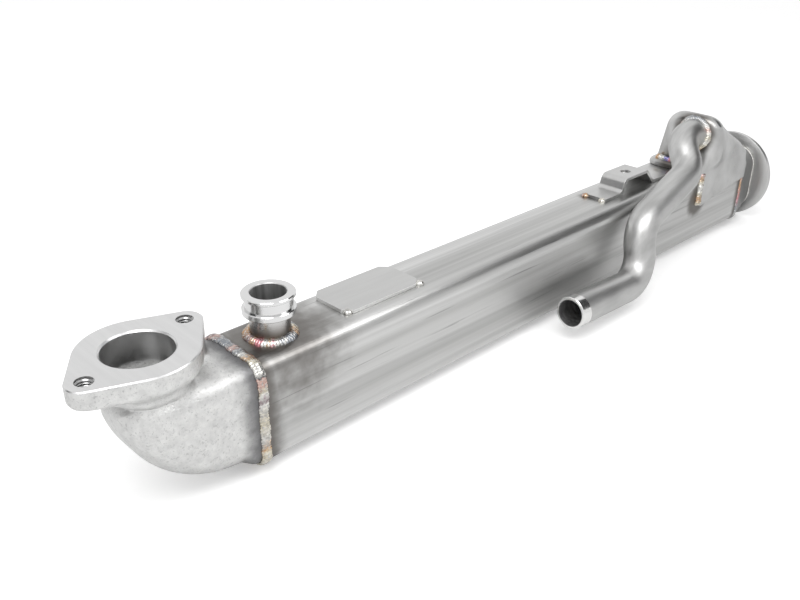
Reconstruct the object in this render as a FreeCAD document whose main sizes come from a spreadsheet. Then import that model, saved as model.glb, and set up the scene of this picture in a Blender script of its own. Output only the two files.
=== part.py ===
import FreeCAD, Part
import math
import os
import Sketcher
from FreeCAD import Placement, Rotation, Vector

# Exhaust gas recirculation cooler: a rectangular shell with a bundle of gas tubes inside,
# a cast outlet elbow with a two-bolt flange, a coolant nipple, a pressed coolant manifold
# with a bent inlet pipe, and an inlet adapter that ends in a clamp flange.
# Millimetres. The origin is the centre of the gas outlet bore on its gasket face.
# +X runs along the shell to the gas inlet, +Z is up, and the coolant pipe is on the -Y side.

doc = FreeCAD.newDocument("egr_cooler")
sheet = doc.addObject("Spreadsheet::Sheet", "Sizes")

SIZES = [
    ("outlet_to_shell", 47.0, "outlet bore axis to the near end of the shell"),
    ("gasket_to_shell", 19.0, "gasket face above the top of the shell"),
    ("shell_length", 464.0, "rectangular shell"),
    ("shell_width", 44.0, ""),
    ("shell_height", 57.0, ""),
    ("shell_corner", 8.3, "outer corner radius"),
    ("shell_wall", 1.5, ""),
    ("mouth_inset", 1.0, "elbow mouth inside the shell outline"),
    ("mouth_length", 5.0, "straight mouth under the weld"),
    ("bend_start", 10.0, "shell end to the elbow bend axis"),
    ("bend_reach", 55.0, "bend axis to the outside of the bend"),
    ("bend_corner", 16.0, "outer corner radius of the bend"),
    ("casting_wall", 4.0, ""),
    ("flange_thick", 11.5, "outlet flange"),
    ("flange_end_radius", 8.3, "round ends about the bolt holes"),
    ("flange_waist_radius", 27.3, "round middle about the bore"),
    ("flange_edge", 0.5, "chamfer round the gasket face"),
    ("flange_under", 2.0, "rounding under the flange"),
    ("bore_diameter", 31.9, "gas outlet bore"),
    ("bore_chamfer", 0.8, ""),
    ("bolt_span", 60.4, "between the two tapped holes"),
    ("bolt_angle", 17.5, "degrees from +X"),
    ("bolt_hole", 8.2, "tapped hole, outside of its thread"),
    ("sheet_gap", 0.05, "brazed joint"),
    ("slip_gap", 0.15, "tube in a support plate"),
    ("header_thick", 3.0, "tube plates"),
    ("header_recess", 8.0, "shell end to tube plate"),
    ("tube_diameter", 8.0, "gas tubes"),
    ("tube_wall", 0.6, ""),
    ("tube_proud", 1.0, "tube end beyond the tube plate"),
    ("tube_side_gap", 1.2, "outer tubes to the sides of the shell"),
    ("tube_top_gap", 2.2, "outer tubes to its top and bottom"),
    ("support_thick", 1.2, "support plates"),
    ("support_window", 12.0, "coolant gap left by a support plate"),
    ("nipple_setback", 22.0, "shell end to the nipple axis"),
    ("nipple_tube", 19.8, "plain tube diameter"),
    ("nipple_bore", 17.6, ""),
    ("nipple_rim", 26.3, "top ring diameter"),
    ("nipple_neck", 23.6, "groove diameter"),
    ("nipple_height", 22.7, "top above the shell"),
    ("rim_thick", 2.0, ""),
    ("collar_base", 12.0, "collar above the shell"),
    ("collar_thick", 3.2, ""),
    ("turned_edge", 0.4, "chamfer on turned edges"),
    ("tag_start", 60.0, "shell end to the plate"),
    ("tag_length", 54.0, "bare name plate"),
    ("tag_width", 29.8, ""),
    ("tag_shift", 2.2, "plate middle from the shell middle"),
    ("tag_thick", 2.0, ""),
    ("tag_corner", 5.0, ""),
    ("strap_gap", 17.0, "bracket to the lip of the manifold"),
    ("strap_foot", 19.0, ""),
    ("strap_slope", 3.0, "run of the near web"),
    ("strap_top", 28.0, "length of the raised plate"),
    ("strap_far_slope", 9.0, "run of the far web"),
    ("strap_far_foot", 17.0, ""),
    ("strap_rise", 11.0, "top face above the shell"),
    ("strap_width", 18.5, ""),
    ("strap_thick", 2.0, ""),
    ("strap_bend", 5.0, "outer bend radius"),
    ("strap_hole", 7.0, ""),
    ("dome_length", 71.0, "front of the manifold to the far end of the shell"),
    ("dome_wall", 2.0, ""),
    ("dome_height", 40.3, "front of the manifold above the shell"),
    ("dome_end_height", 5.0, "rear of the manifold above the shell"),
    ("dome_far", 10.0, "far side from the shell middle, at the crown"),
    ("dome_narrow", 5.0, "narrowing of the crown towards the rear"),
    ("dome_splay", 9.0, "far side farther out at its foot"),
    ("dome_bulge", 6.8, "front of the bulge beyond the skirt"),
    ("dome_under", 6.5, "underside of the bulge above the shell"),
    ("dome_tuck", 1.0, "bulge runs into the skirt below the top of the shell"),
    ("dome_corner", 13.0, "rounding of the crown"),
    ("dome_belly", 5.0, "rounding under the bulge"),
    ("dome_edge", 5.0, "rounding of the front into the crown and the far side"),
    ("dome_nose", 12.0, "rounding of the front into the bulge"),
    ("skirt_drop", 27.0, "skirt below the top of the shell at the front"),
    ("skirt_end_drop", 19.5, "skirt below the top of the shell at the rear"),
    ("skirt_setback", 4.0, "front edge of the skirt behind the front"),
    ("skirt_step", 0.05, "skirt proud of the side of the bulge's foot"),
    ("lip_length", 9.0, "lip ahead of the manifold on the shell"),
    ("lip_thick", 4.5, ""),
    ("lip_edge", 3.0, "side of the shell to the side of the lip"),
    ("lip_round", 3.0, "rounding of the lip"),
    ("lip_corner", 9.5, "corner of the lip"),
    ("port_offset", 12.0, "pipe port from the shell middle, towards -Y"),
    ("port_height", 27.4, "pipe port above the shell"),
    ("pipe_diameter", 20.6, "coolant pipe"),
    ("pipe_wall", 1.7, ""),
    ("pipe_entry", 4.0, "pipe end inside the manifold"),
    ("pipe_bend", 20.0, "bend radius of the centre line"),
    ("pipe_stub", 19.0, "from the manifold front to the first bend corner"),
    ("pipe_shoulder_run", 10.3, "first to second bend corner, along the shell"),
    ("pipe_shoulder_gap", 7.2, "second corner nearer the shell than the high run"),
    ("pipe_shoulder_rise", 9.8, "second corner above the shell"),
    ("pipe_knee_run", 82.4, "first to third bend corner, along the shell"),
    ("pipe_knee_drop", 9.3, "third corner below the top of the shell"),
    ("pipe_run", 80.0, "straight end of the pipe"),
    ("pipe_end_rise", 3.5, "rise of the straight end"),
    ("pipe_low_gap", 11.2, "shell side to the pipe, low run"),
    ("pipe_high_gap", 3.3, "shell side to the pipe, high run"),
    ("pipe_floor", 1.7, "pipe above the underside of the shell"),
    ("pipe_edge", 0.5, "chamfer at the open end"),
    ("adapter_length", 20.5, "shell end to the clamp flange"),
    ("adapter_wall", 3.0, ""),
    ("adapter_width", 42.0, "at the clamp flange"),
    ("adapter_height", 50.3, "at the clamp flange"),
    ("adapter_corner", 14.5, "at the clamp flange"),
    ("band_radius", 34.0, "clamp flange"),
    ("band_rim", 3.5, "cylindrical rim"),
    ("band_taper", 2.5, "clamping cone"),
    ("band_hub_radius", 27.2, ""),
    ("band_bore", 38.0, "gas inlet bore"),
    ("band_lift", 1.3, "flange axis above the shell axis"),
    ("weld_width", 6.4, "weld round the elbow mouth"),
    ("weld_height", 1.4, ""),
    ("seam_width", 4.0, "weld round the adapter"),
    ("seam_height", 0.8, ""),
    ("ring_leg", 3.6, "fillet weld round the nipple"),
    ("pipe_weld_leg", 2.0, "fillet weld round the pipe"),
    ("bead_radius", 3.2, "fillet welds of the manifold"),
    ("bead_inset", 8.0, "end of the lip to the end of its weld"),
    ("side_bead_length", 24.5, "weld down the front edge of the skirt"),
    ("tack_radius", 2.6, "tack welds"),
    ("tack_height", 2.4, ""),
]
for row, (alias, number, note) in enumerate(SIZES, 1):
    sheet.set("A%d" % row, alias)
    sheet.set("B%d" % row, "%g" % number)
    sheet.set("C%d" % row, note)
    sheet.setAlias("B%d" % row, alias)
doc.recompute()

TUBE_COLUMNS = 4
TUBE_ROWS = 5
SUPPORT_COUNT = 4

# A fillet weld has a full face: shares of its leg, along one side and out from it
WELD_SHOULDER = 0.4
WELD_BULGE = 0.85
# A flat bead is rounded over this share of its height
CREST_SHARE = 0.9


def size(alias):
    return float(sheet.get(alias))


def bound(text):
    """Write an expression on the sheet's sizes, from their plain names."""
    words = []
    word = ""
    for letter in text + " ":
        if letter.isalnum() or letter == "_":
            word += letter
        else:
            words.append("Sizes." + word if word in ALIASES else word)
            words.append(letter)
            word = ""
    return "".join(words).strip()


ALIASES = [alias for alias, number, note in SIZES]

# Places that several pieces share, as expressions on the sizes
SHELL_NEAR = "outlet_to_shell"
SHELL_FAR = "(outlet_to_shell + shell_length)"
SHELL_TOP = "(-gasket_to_shell)"
SHELL_BOTTOM = "(-gasket_to_shell - shell_height)"
SHELL_MIDDLE = "(-gasket_to_shell - shell_height / 2)"
BEND_AXIS = "(outlet_to_shell - bend_start)"
BORE_WIDTH = "(shell_width - 2 * shell_wall)"
BORE_HEIGHT = "(shell_height - 2 * shell_wall)"
DOME_FRONT = "(outlet_to_shell + shell_length - dome_length)"
STRAP_NEAR = ("(%s - lip_length - strap_gap - strap_far_foot - strap_far_slope"
              " - strap_top - strap_slope - strap_foot)" % DOME_FRONT)


def new_body(label):
    body = doc.addObject("PartDesign::Body", label)
    body.Label = label
    return body


def new_sketch(body, role, name, offset="0"):
    """Put a sketch on one of the body's own origin planes, moved along its normal."""
    plane = [item for item in body.Origin.OriginFeatures if item.Role == role][0]
    sketch = body.newObject("Sketcher::SketchObject", name)
    sketch.AttachmentSupport = [(plane, "")]
    sketch.MapMode = "FlatFace"
    if offset != "0":
        sketch.setExpression("AttachmentOffset.Base.z", bound(offset))
    return sketch


def pin_point(sketch, geometry, position, name, across, up):
    """Fix a sketch point from the origin by two bound distances."""
    for kind, letter, text in (("DistanceX", "x", across), ("DistanceY", "y", up)):
        index = sketch.addConstraint(
            Sketcher.Constraint(kind, -1, 1, geometry, position, 1.0))
        sketch.renameConstraint(index, name + letter)
        sketch.setExpression("Constraints." + name + letter, bound(text))


def polygon(sketch, points, name="p"):
    """Draw a closed outline whose corners are pairs of expressions."""
    count = len(points)
    first = sketch.GeometryCount
    spots = [Vector(math.cos(2 * math.pi * k / count), math.sin(2 * math.pi * k / count), 0)
             for k in range(count)]
    for k in range(count):
        sketch.addGeometry(Part.LineSegment(spots[k], spots[(k + 1) % count]), False)
    for k in range(count):
        sketch.addConstraint(Sketcher.Constraint(
            "Coincident", first + k, 2, first + (k + 1) % count, 1))
    for k, (across, up) in enumerate(points):
        pin_point(sketch, first + k, 1, "%s%d" % (name, k), across, up)
    return sketch


def circle(sketch, across, up, diameter, name="c"):
    index = sketch.addGeometry(Part.Circle(Vector(0, 0, 0), Vector(0, 0, 1), 1.0), False)
    pin_point(sketch, index, 3, name, across, up)
    radius = sketch.addConstraint(Sketcher.Constraint("Radius", index, 1.0))
    sketch.renameConstraint(radius, name + "r")
    sketch.setExpression("Constraints." + name + "r", bound("(%s) / 2" % diameter))
    return sketch


def feature(body, kind, name, sketch, length=None, reverse=False, middle=False):
    """Add a pad or pocket of a sketch; with no length it goes through all."""
    item = body.newObject("PartDesign::" + kind, name)
    item.Profile = sketch
    item.Reversed = reverse
    if middle:
        item.SideType = "Symmetric"
    if length is None:
        item.Type = "ThroughAll"
    else:
        item.setExpression("Length", bound(length))
    sketch.Visibility = False
    doc.recompute()
    return item


def revolve(body, kind, name, sketch, axis, angle=360.0, reverse=False):
    item = body.newObject("PartDesign::" + kind, name)
    item.Profile = sketch
    item.ReferenceAxis = (sketch, [axis])
    item.Angle = angle
    item.Reversed = reverse
    doc.recompute()
    return item


def loft(body, kind, name, first, last):
    item = body.newObject("PartDesign::" + kind, name)
    item.Profile = first
    item.Sections = [last]
    doc.recompute()
    return item


def add_hinge(sketch, level):
    """Draw the construction line that a section turns about."""
    hinge = sketch.addGeometry(Part.LineSegment(Vector(-5, 0, 0), Vector(5, 0, 0)), True)
    pin_point(sketch, hinge, 1, "hinge_a", "-shell_width", level)
    pin_point(sketch, hinge, 2, "hinge_b", "shell_width", level)


def edge_names(item, wanted):
    return ["Edge%d" % (k + 1) for k, edge in enumerate(item.Shape.Edges) if wanted(edge)]


def round_edges(body, name, base, wanted, radius, kind="Fillet"):
    item = body.newObject("PartDesign::" + kind, name)
    item.Base = (base, edge_names(base, wanted))
    item.setExpression("Radius" if kind == "Fillet" else "Size", bound(radius))
    doc.recompute()
    return item


def along(edge, axis):
    """True for a straight edge parallel to an axis vector."""
    if not isinstance(edge.Curve, (Part.Line, Part.LineSegment)):
        return False
    return abs(edge.tangentAt(edge.FirstParameter).dot(axis)) > 0.999


def middle_of(edge):
    return edge.BoundBox.Center


def section(body, name, offset, width, low, high, low_radius, high_radius=None, role="YZ_Plane"):
    """Sketch a rounded rectangle, most often across the shell; without high_radius its top is square."""
    sketch = new_sketch(body, role, name, offset)
    half = "(%s) / 2" % width
    lower = "(%s)" % low_radius
    upper = "(%s)" % (high_radius or "0")
    ends = [("-%s + %s" % (half, lower), low), ("%s - %s" % (half, lower), low),
            (half, "%s + %s" % (low, lower)), (half, "%s - %s" % (high, upper)),
            ("%s - %s" % (half, upper), high), ("-%s + %s" % (half, upper), high),
            ("-" + half, "%s - %s" % (high, upper)), ("-" + half, "%s + %s" % (low, lower))]
    starts = [Vector(-1, -2, 0), Vector(1, -2, 0), Vector(2, -1, 0), Vector(2, 1, 0),
              Vector(1, 2, 0), Vector(-1, 2, 0), Vector(-2, 1, 0), Vector(-2, -1, 0)]
    for side in range(4):
        sketch.addGeometry(Part.LineSegment(starts[2 * side], starts[2 * side + 1]), False)
        for position in (1, 2):
            if high_radius is None and side > 1 and position == 1:
                continue
            across, up = ends[2 * side + position - 1]
            pin_point(sketch, side, position, "p%d" % (2 * side + position), across, up)
    corners = ((0, low_radius), (1, high_radius), (2, high_radius), (3, low_radius))
    for side, radius in corners:
        if radius is None:
            sketch.addConstraint(Sketcher.Constraint("Coincident", side, 2, side + 1, 1))
    doc.recompute()
    for side, radius in corners:
        if radius is None:
            continue
        following = (side + 1) % 4
        start = sketch.getPoint(side, 2)
        end = sketch.getPoint(following, 1)
        level = side % 2 == 0
        centre = Vector(start.x, end.y, 0) if level else Vector(end.x, start.y, 0)
        turn = math.radians(90 * side)
        round_part = Part.Circle(centre, Vector(0, 0, 1), abs(end.x - start.x))
        arc = sketch.addGeometry(
            Part.ArcOfCircle(round_part, turn - math.pi / 2, turn), False)
        sketch.addConstraint(Sketcher.Constraint("Coincident", side, 2, arc, 1))
        sketch.addConstraint(Sketcher.Constraint("Coincident", arc, 2, following, 1))
        across = ends[2 * side + 1][0] if level else ends[2 * following][0]
        index = sketch.addConstraint(Sketcher.Constraint("DistanceX", -1, 1, arc, 3, centre.x))
        sketch.renameConstraint(index, "corner%d" % side)
        sketch.setExpression("Constraints.corner%d" % side, bound(across))
    return sketch


def block(name, near, length, width, low, high, radius):
    """A bar along X with rounded long edges, as a tool or a plain piece."""
    body = new_body(name)
    outline = section(body, name + "_outline", near, width, low, high, radius, radius)
    feature(body, "Pad", name + "_pad", outline, length)
    return body


def cut(name, base, tool):
    item = doc.addObject("Part::Cut", name)
    item.Label = name
    item.Base = base
    item.Tool = tool
    doc.recompute()
    return item


def fuse(name, shapes):
    item = doc.addObject("Part::MultiFuse", name)
    item.Label = name
    item.Shapes = shapes
    item.Refine = True
    doc.recompute()
    return item


def cylinder(name, diameter, height, place, axis=None):
    """An upright cylinder, or one along the given axis; place holds three expressions."""
    item = doc.addObject("Part::Cylinder", name)
    item.setExpression("Radius", bound("(%s) / 2" % diameter))
    item.setExpression("Height", bound(height))
    if axis is not None:
        item.Placement = Placement(Vector(), Rotation(Vector(0, 0, 1), axis))
    for letter, text in zip("xyz", place):
        item.setExpression("Placement.Base." + letter, bound(text))
    return item


def box(name, length, width, height, place):
    item = doc.addObject("Part::Box", name)
    for prop, text in (("Length", length), ("Width", width), ("Height", height)):
        item.setExpression(prop, bound(text))
    for letter, text in zip("xyz", place):
        item.setExpression("Placement.Base." + letter, bound(text))
    return item


X_AXIS = Vector(1, 0, 0)
Y_AXIS = Vector(0, 1, 0)
Z_AXIS = Vector(0, 0, 1)


# Shell: a rectangular tube with a coolant hole under the nipple and one under the manifold
def make_shell_tube():
    inner_low = SHELL_BOTTOM + " + shell_wall"
    inner_high = SHELL_TOP + " - shell_wall"
    outer = block("shell_outside", SHELL_NEAR, "shell_length", "shell_width",
                  SHELL_BOTTOM, SHELL_TOP, "shell_corner")
    inner = block("shell_inside", SHELL_NEAR, "shell_length", BORE_WIDTH,
                  inner_low, inner_high, "shell_corner - shell_wall")
    tube = cut("shell_plain", outer, inner)
    hole = cylinder("outlet_hole", "nipple_tube", "shell_corner",
                    (SHELL_NEAR + " + nipple_setback", "0", SHELL_TOP + " - shell_corner / 2"))
    near = DOME_FRONT + " + dome_edge + dome_wall"
    side = "(shell_width / 2 - shell_corner)"
    window = box("inlet_window", "dome_length - header_recess - dome_corner",
                 side + " + dome_far - 2 * dome_wall", "shell_corner",
                 (near, "-" + side, SHELL_TOP + " - shell_corner / 2"))
    return cut("shell_tube", tube, fuse("shell_openings", [hole, window]))


# Outlet elbow: one casting that turns the gas up into a two-bolt flange
def flange_outline(sketch):
    """A rhombus whose rounded corners make the two ends and the waist of the flange."""
    half = "(bolt_span / 2)"
    rise = "(flange_waist_radius - flange_end_radius)"
    long_side = "(flange_waist_radius * %s / %s)" % (half, rise)
    short_side = "(flange_waist_radius / sqrt(1 - (%s / %s) ^ 2))" % (rise, half)
    points = [("%s * cos(bolt_angle)" % long_side, "%s * sin(bolt_angle)" % long_side),
              ("-%s * sin(bolt_angle)" % short_side, "%s * cos(bolt_angle)" % short_side),
              ("-%s * cos(bolt_angle)" % long_side, "-%s * sin(bolt_angle)" % long_side),
              ("%s * sin(bolt_angle)" % short_side, "-%s * cos(bolt_angle)" % short_side)]
    return polygon(sketch, points)


def make_flange():
    body = new_body("elbow_flange")
    plate = new_sketch(body, "XY_Plane", "flange_outline")
    flange_outline(plate)
    flange = feature(body, "Pad", "flange_pad", plate, "flange_thick", reverse=True)

    def distance(edge):
        return math.hypot(middle_of(edge).x, middle_of(edge).y) if along(edge, Z_AXIS) else 0

    tips = sorted((distance(e) for e in flange.Shape.Edges), reverse=True)
    ends = round_edges(body, "flange_ends", flange,
                       lambda e: distance(e) > tips[1] - 0.1, "flange_end_radius")
    waist = round_edges(body, "flange_waist", ends,
                        lambda e: 0 < distance(e) and abs(distance(e) - tips[2]) < 0.1,
                        "flange_waist_radius")
    rim = round_edges(body, "flange_rim", waist,
                      lambda e: not along(e, Z_AXIS) and middle_of(e).z > -0.01,
                      "flange_edge", "Chamfer")
    under = 0.01 - size("flange_thick")
    round_edges(body, "flange_lower_rim", rim,
                lambda e: not along(e, Z_AXIS) and middle_of(e).z < under, "flange_under")
    return body


def make_bend():
    """The outside of the casting from its mouth up to the neck under the flange."""
    body = new_body("elbow_bend")
    low = "(-gasket_to_shell - bend_reach)"
    mouth_low = "(%s + mouth_inset)" % SHELL_BOTTOM
    mouth = section(body, "mouth", SHELL_NEAR, "shell_width", mouth_low, SHELL_TOP, "shell_corner")
    feature(body, "Pad", "mouth_pad", mouth, "mouth_length", reverse=True)
    first = section(body, "blend_near", SHELL_NEAR + " - mouth_length", "shell_width",
                    mouth_low, SHELL_TOP, "shell_corner")
    last = section(body, "blend_far", BEND_AXIS, "shell_width", low, SHELL_TOP, "bend_corner")
    loft(body, "AdditiveLoft", "blend", first, last)
    turn = section(body, "bend_outline", BEND_AXIS, "shell_width", low, SHELL_TOP, "bend_corner")
    add_hinge(turn, SHELL_TOP)
    bend = revolve(body, "Revolution", "bend", turn, "Axis0", 90.0)
    top = -size("gasket_to_shell")
    mouth_x = size("outlet_to_shell")
    round_edges(body, "upper_edges", bend,
                lambda e: abs(e.BoundBox.ZMin - top) < 0.01 and abs(e.BoundBox.ZMax - top) < 0.01
                and e.BoundBox.XMin < mouth_x - 0.1, "shell_corner")
    neck_width = "2 * (bend_reach + bend_start - outlet_to_shell)"
    neck = section(body, "neck_outline", "-flange_thick", neck_width, "-shell_width / 2",
                   "shell_width / 2", "bend_corner", "bend_corner", "XY_Plane")
    feature(body, "Pad", "neck", neck, "gasket_to_shell - flange_thick", reverse=True)
    boss = new_sketch(body, "XY_Plane", "boss_outline", "-flange_thick / 2")
    circle(boss, "bolt_span / 2 * cos(bolt_angle)", "bolt_span / 2 * sin(bolt_angle)",
           "2 * flange_end_radius")
    feature(body, "Pad", "boss", boss, "gasket_to_shell - flange_thick / 2 + casting_wall / 2",
            reverse=True)
    return body


def make_gas_passage():
    """The core of the casting: a rectangular way in, a bend and a round throat."""
    body = new_body("gas_passage")
    wall = "casting_wall"
    width = "(shell_width - 2 * casting_wall)"
    roof = "(-gasket_to_shell - casting_wall)"
    mouth_low = "(%s + mouth_inset + casting_wall)" % SHELL_BOTTOM
    low = "(-gasket_to_shell - bend_reach + casting_wall)"
    first = section(body, "core_near", SHELL_NEAR, width, mouth_low, roof,
                    "(shell_corner - casting_wall)")
    last = section(body, "core_far", BEND_AXIS, width, low, roof, "(bend_corner - casting_wall)")
    loft(body, "AdditiveLoft", "core_blend", first, last)
    turn = section(body, "core_outline", BEND_AXIS, width, low, roof,
                   "(bend_corner - casting_wall)")
    add_hinge(turn, roof)
    revolve(body, "Revolution", "core_bend", turn, "Axis0", 90.0)
    throat = new_sketch(body, "XZ_Plane", "throat_outline")
    radius = "(bore_diameter / 2)"
    polygon(throat, [("0", "0"), (radius + " + bore_chamfer", "0"), (radius, "-bore_chamfer"),
                     (radius, "-flange_thick - casting_wall"),
                     (radius + " - casting_wall", "-gasket_to_shell - 2 * casting_wall"),
                     ("0", "-gasket_to_shell - 2 * casting_wall")])
    revolve(body, "Revolution", "throat", throat, "V_Axis")
    return body


def bolt_hole(name, side):
    """A tapped hole through the flange, as wide as its thread, on one side of the gas bore."""
    return cylinder(name, "bolt_hole", "flange_thick",
                    ("%s * bolt_span / 2 * cos(bolt_angle)" % side,
                     "%s * bolt_span / 2 * sin(bolt_angle)" % side, "-flange_thick"))


def make_outlet_elbow():
    casting = fuse("elbow_casting", [make_bend(), make_flange()])
    tools = [make_gas_passage(), bolt_hole("bolt_hole_far", "1"), bolt_hole("bolt_hole_near", "-1")]
    return cut("outlet_elbow", casting, fuse("elbow_tools", tools))



# Tube bundle: two tube plates, rows of gas tubes and support plates with a coolant window
def tube_places():
    """Expressions for the middle of each tube, row by row, spread over the shell's section."""
    width = "(%s - 2 * tube_side_gap - tube_diameter)" % BORE_WIDTH
    height = "(%s - 2 * tube_top_gap - tube_diameter)" % BORE_HEIGHT
    places = []
    for row in range(TUBE_ROWS):
        for column in range(TUBE_COLUMNS):
            across = "(%s * %g)" % (width, column / (TUBE_COLUMNS - 1) - 1 / 2)
            up = "(%s + %s * %g)" % (SHELL_MIDDLE, height, row / (TUBE_ROWS - 1) - 1 / 2)
            places.append((across, up))
    return places


def pierced_plate(name, near, thick, gap, low):
    """A plate across the shell with a hole for each gas tube; low is its lower edge."""
    body = new_body(name)
    outline = section(body, name + "_outline", near, BORE_WIDTH + " - 2 * sheet_gap",
                      low, SHELL_TOP + " - shell_wall - sheet_gap",
                      "(shell_corner - shell_wall / 2)", "(shell_corner - shell_wall / 2)")
    feature(body, "Pad", name + "_pad", outline, thick)
    holes = new_sketch(body, "YZ_Plane", name + "_holes", near)
    for index, (across, up) in enumerate(tube_places()):
        circle(holes, across, up, "tube_diameter + 2 * (%s)" % gap, "hole%d" % index)
    feature(body, "Pocket", name + "_pocket", holes, thick, reverse=True)
    return body


def make_support(index):
    """Support plates leave the coolant a window below and above by turns."""
    step = "((shell_length - 2 * header_recess) / %d)" % (SUPPORT_COUNT + 1)
    near = "%s + header_recess + %d * %s" % (SHELL_NEAR, index + 1, step)
    name = "support_plate_%d" % (index + 1)
    whole = pierced_plate(name + "_whole", near, "support_thick", "slip_gap",
                          SHELL_BOTTOM + " + shell_wall + sheet_gap")
    level = SHELL_BOTTOM if index % 2 == 0 else SHELL_TOP + " - support_window"
    window = box(name + "_window", "3 * support_thick", "shell_width", "support_window",
                 (near + " - support_thick", "-shell_width / 2", level))
    return cut(name, whole, window)


def make_gas_tube(index, across, up):
    near = SHELL_NEAR + " + header_recess - tube_proud"
    length = "shell_length - 2 * header_recess + 2 * tube_proud"
    name = "gas_tube_%d" % (index + 1)
    outer = cylinder(name + "_outside", "tube_diameter", length, (near, across, up), X_AXIS)
    inner = cylinder(name + "_inside", "tube_diameter - 2 * tube_wall", length,
                     (near, across, up), X_AXIS)
    return cut(name, outer, inner)


def make_bundle():
    inside_low = SHELL_BOTTOM + " + shell_wall + sheet_gap"
    pieces = [pierced_plate("front_tube_plate", SHELL_NEAR + " + header_recess",
                            "header_thick", "sheet_gap", inside_low),
              pierced_plate("rear_tube_plate", SHELL_FAR + " - header_recess - header_thick",
                            "header_thick", "sheet_gap", inside_low)]
    pieces += [make_gas_tube(index, across, up)
               for index, (across, up) in enumerate(tube_places())]
    pieces += [make_support(index) for index in range(SUPPORT_COUNT)]
    return pieces


# Coolant nipple: turned, with a top ring, a groove and a collar
def make_nipple():
    body = new_body("coolant_nipple")
    profile = new_sketch(body, "XZ_Plane", "nipple_profile")
    axis = "%s + nipple_setback + " % SHELL_NEAR

    def ring(diameter, level, inset="0", rise="0"):
        return (axis + "(%s) / 2 - (%s)" % (diameter, inset),
                "%s + (%s) + (%s)" % (SHELL_TOP, level, rise))

    edge = "turned_edge"
    top = "nipple_height"
    collar_top = "collar_base + collar_thick"
    polygon(profile, [
        ring("nipple_bore", "-shell_wall"), ring("nipple_tube", "-shell_wall"),
        ring("nipple_tube", "collar_base"), ring("nipple_rim", "collar_base", edge),
        ring("nipple_rim", "collar_base", "0", edge), ring("nipple_rim", collar_top, "0", "-" + edge),
        ring("nipple_rim", collar_top, edge), ring("nipple_neck", collar_top),
        ring("nipple_neck", "nipple_height - rim_thick"),
        ring("nipple_rim", "nipple_height - rim_thick", edge),
        ring("nipple_rim", "nipple_height - rim_thick", "0", edge),
        ring("nipple_rim", top, "0", "-" + edge), ring("nipple_rim", top, edge),
        ring("nipple_bore", top, "-" + edge), ring("nipple_bore", top, "0", "-" + edge)])
    add_spindle(profile, SHELL_NEAR + " + nipple_setback")
    revolve(body, "Revolution", "nipple_turned", profile, "Axis0")
    return body


def add_spindle(sketch, across):
    """Draw the upright construction line that a turned profile spins about."""
    line = sketch.addGeometry(Part.LineSegment(Vector(0, -5, 0), Vector(0, 5, 0)), True)
    pin_point(sketch, line, 1, "spindle_a", across, "-shell_height")
    pin_point(sketch, line, 2, "spindle_b", across, "shell_height")


def make_nipple_weld():
    body = new_body("nipple_weld")
    profile = new_sketch(body, "XZ_Plane", "nipple_weld_profile")
    foot = SHELL_NEAR + " + nipple_setback + nipple_tube / 2"
    shoulder = " + %g * ring_leg" % WELD_SHOULDER
    bulge = " + %g * ring_leg" % WELD_BULGE
    polygon(profile, [(foot, SHELL_TOP), (foot + " + ring_leg", SHELL_TOP),
                      (foot + bulge, SHELL_TOP + shoulder),
                      (foot + shoulder, SHELL_TOP + bulge),
                      (foot, SHELL_TOP + " + ring_leg")])
    add_spindle(profile, SHELL_NEAR + " + nipple_setback")
    revolve(body, "Revolution", "nipple_weld_ring", profile, "Axis0")
    return body


# Bare name plate with cut corners
def make_tag():
    body = new_body("name_plate")
    sketch = new_sketch(body, "XY_Plane", "tag_outline", SHELL_TOP)
    near = SHELL_NEAR + " + tag_start"
    far = near + " + tag_length"
    low = "tag_shift - tag_width / 2"
    high = "tag_shift + tag_width / 2"
    polygon(sketch, [(near, low), (far, low), (far, high), (near, high)])
    pad = feature(body, "Pad", "tag_pad", sketch, "tag_thick")
    round_edges(body, "tag_corners", pad, lambda e: along(e, Z_AXIS), "tag_corner", "Chamfer")
    return body


def dome_front():
    """Where the manifold's front stands along the shell."""
    return size("outlet_to_shell") + size("shell_length") - size("dome_length")


# Bracket: a strap bent up into a raised plate with one hole
def make_strap():
    body = new_body("mounting_bracket")
    sketch = new_sketch(body, "XZ_Plane", "strap_profile")
    x1 = STRAP_NEAR
    x2 = x1 + " + strap_foot"
    x3 = x2 + " + strap_slope"
    x4 = x3 + " + strap_top"
    x5 = x4 + " + strap_far_slope"
    x6 = x5 + " + strap_far_foot"
    low = SHELL_TOP
    thick = low + " + strap_thick"
    high = low + " + strap_rise"
    under = high + " - strap_thick"
    t = " + strap_thick"
    polygon(sketch, [
        (x1, low), (x2 + t, low), (x3 + t, under), (x4 + " - strap_thick / 2", under),
        (x5 + " - strap_thick / 2", low), (x6, low), (x6, thick), (x5, thick),
        (x4, high), (x3, high), (x2, thick), (x1, thick)])
    strap = feature(body, "Pad", "strap_pad", sketch, "strap_width", middle=True)
    top = size("strap_rise") - size("gasket_to_shell")
    base = size("strap_thick") - size("gasket_to_shell")

    near = dome_front() - size("lip_length") - size("strap_gap") - size("strap_far_foot")
    hump = size("strap_slope") + size("strap_top") + size("strap_far_slope")

    def bend_line(edge, level):
        spot = middle_of(edge)
        return (along(edge, Y_AXIS) and abs(spot.z - level) < 0.01
                and near - hump - 1 < spot.x < near + 1)

    crown = round_edges(body, "strap_crown", strap, lambda e: bend_line(e, top), "strap_bend")
    round_edges(body, "strap_roots", crown,
                lambda e: bend_line(e, base), "strap_bend - strap_thick / 2")
    hole = new_sketch(body, "XY_Plane", "strap_hole", SHELL_TOP + " + strap_rise")
    circle(hole, x3 + " + strap_top / 2", "0", "strap_hole")
    feature(body, "Pocket", "strap_pocket", hole, "2 * strap_thick")
    return body


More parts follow.
